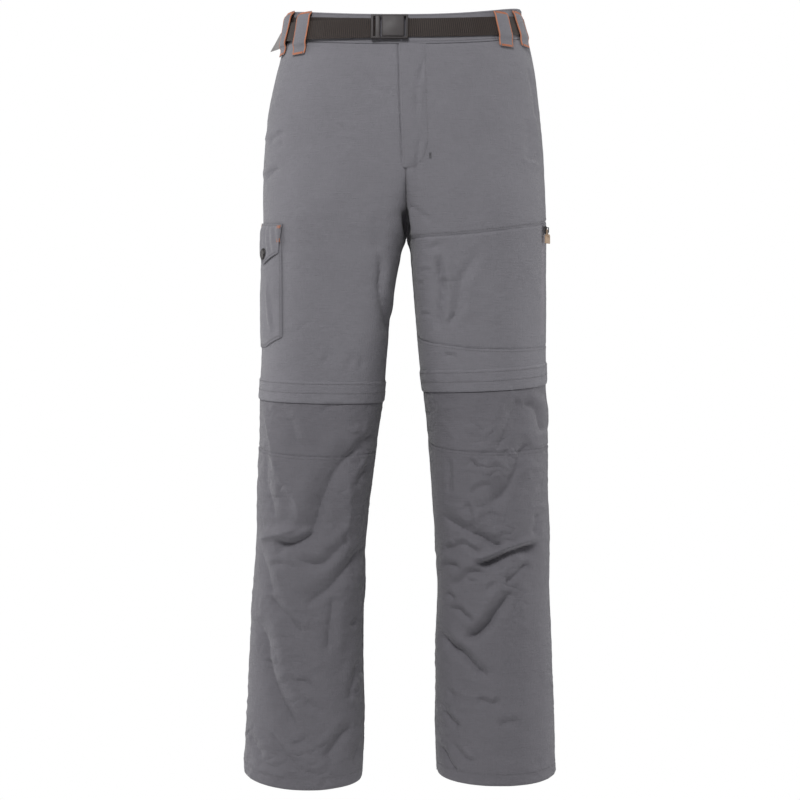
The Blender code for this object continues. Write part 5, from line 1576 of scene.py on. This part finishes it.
light = {"world": 0.26, "key": 60.0, "side": 24.0, "low": 0.5}
floorSize = 1.6
floorHeight = -1.5


def studio():
    # white to the eye, soft light from above and in front, and paler edges from both sides
    world = bpy.data.worlds.new("studio")
    bpy.context.scene.world = world
    world.use_nodes = True
    tree = world.node_tree
    tree.nodes.clear()
    path = tree.nodes.new("ShaderNodeLightPath")
    seen = Shade(tree, path.outputs["Is Camera Ray"])
    strength = seen * (1.0 - light["world"]) + light["world"]
    background = strength.node("ShaderNodeBackground", {}, {"Color": (1, 1, 1, 1), "Strength": strength})
    out = tree.nodes.new("ShaderNodeOutputWorld")
    tree.links.new(background.socket, out.inputs["Surface"])

    def area(name, place, aim, width, height, power):
        # one soft box, turned towards a point
        lamp = bpy.data.lights.new(name, "AREA")
        lamp.shape = "RECTANGLE"
        lamp.size = width
        lamp.size_y = height
        lamp.energy = power
        obj = bpy.data.objects.new(name, lamp)
        obj.location = place
        obj.rotation_euler = (Vector(aim) - Vector(place)).to_track_quat("-Z", "Y").to_euler()
        bpy.context.scene.collection.objects.link(obj)

    area("key", (-0.6, -2.5, 1.7), (0, 0, -0.55), 1.1, 0.9, light["key"])
    area("side_right", (-2.1, 0.45, -0.4), (-0.1, 0, -0.5), 0.8, 2.4, light["side"])
    area("side_left", (2.1, 0.45, -0.4), (0.1, 0, -0.5), 0.8, 2.4, light["side"])
    area("low", (0.6, -2.4, -1.3), (0, 0, -0.6), 1.6, 0.8, light["low"])
    mesh = bpy.data.meshes.new("floor")
    corners = [(x * floorSize, y * floorSize, floorHeight) for x, y in ((-1, -1), (1, -1), (1, 1), (-1, 1))]
    mesh.from_pydata(corners, [], [(0, 1, 2, 3)])
    floor = bpy.data.objects.new("floor", mesh)
    mesh.materials.append(newMaterial("pale_floor", (0.82, 0.82, 0.82), 0.9)[0])
    bpy.context.scene.collection.objects.link(floor)

    eye = bpy.data.cameras.new("camera")
    eye.lens = camera["lens"]
    eye.sensor_width = 36.0
    obj = bpy.data.objects.new("camera", eye)
    obj.location = (0.0, -camera["distance"], camera["height"])
    obj.rotation_euler = (math.pi / 2, 0.0, 0.0)
    bpy.context.scene.collection.objects.link(obj)
    bpy.context.scene.camera = obj
    bpy.context.scene.view_settings.view_transform = "Standard"


legs = (("right", "R"), ("left", "L"))
for oneSide, oneLetter in legs:
    legPanels(oneSide, oneLetter)
    guards(oneSide, oneLetter)
    print("leg", oneLetter)
waistbands()
flyPieces()
cargoBag()
cargoFlap()
print("pockets")
beltPieces()
beltLoops()
beltBuckle()
print("belt")
snapRim()
sideZipPieces()
for oneSide, oneLetter in legs:
    sewLeg(oneSide, oneLetter)
sewPocket()
barTacks()
carriedNodes()
print("details")
studio()
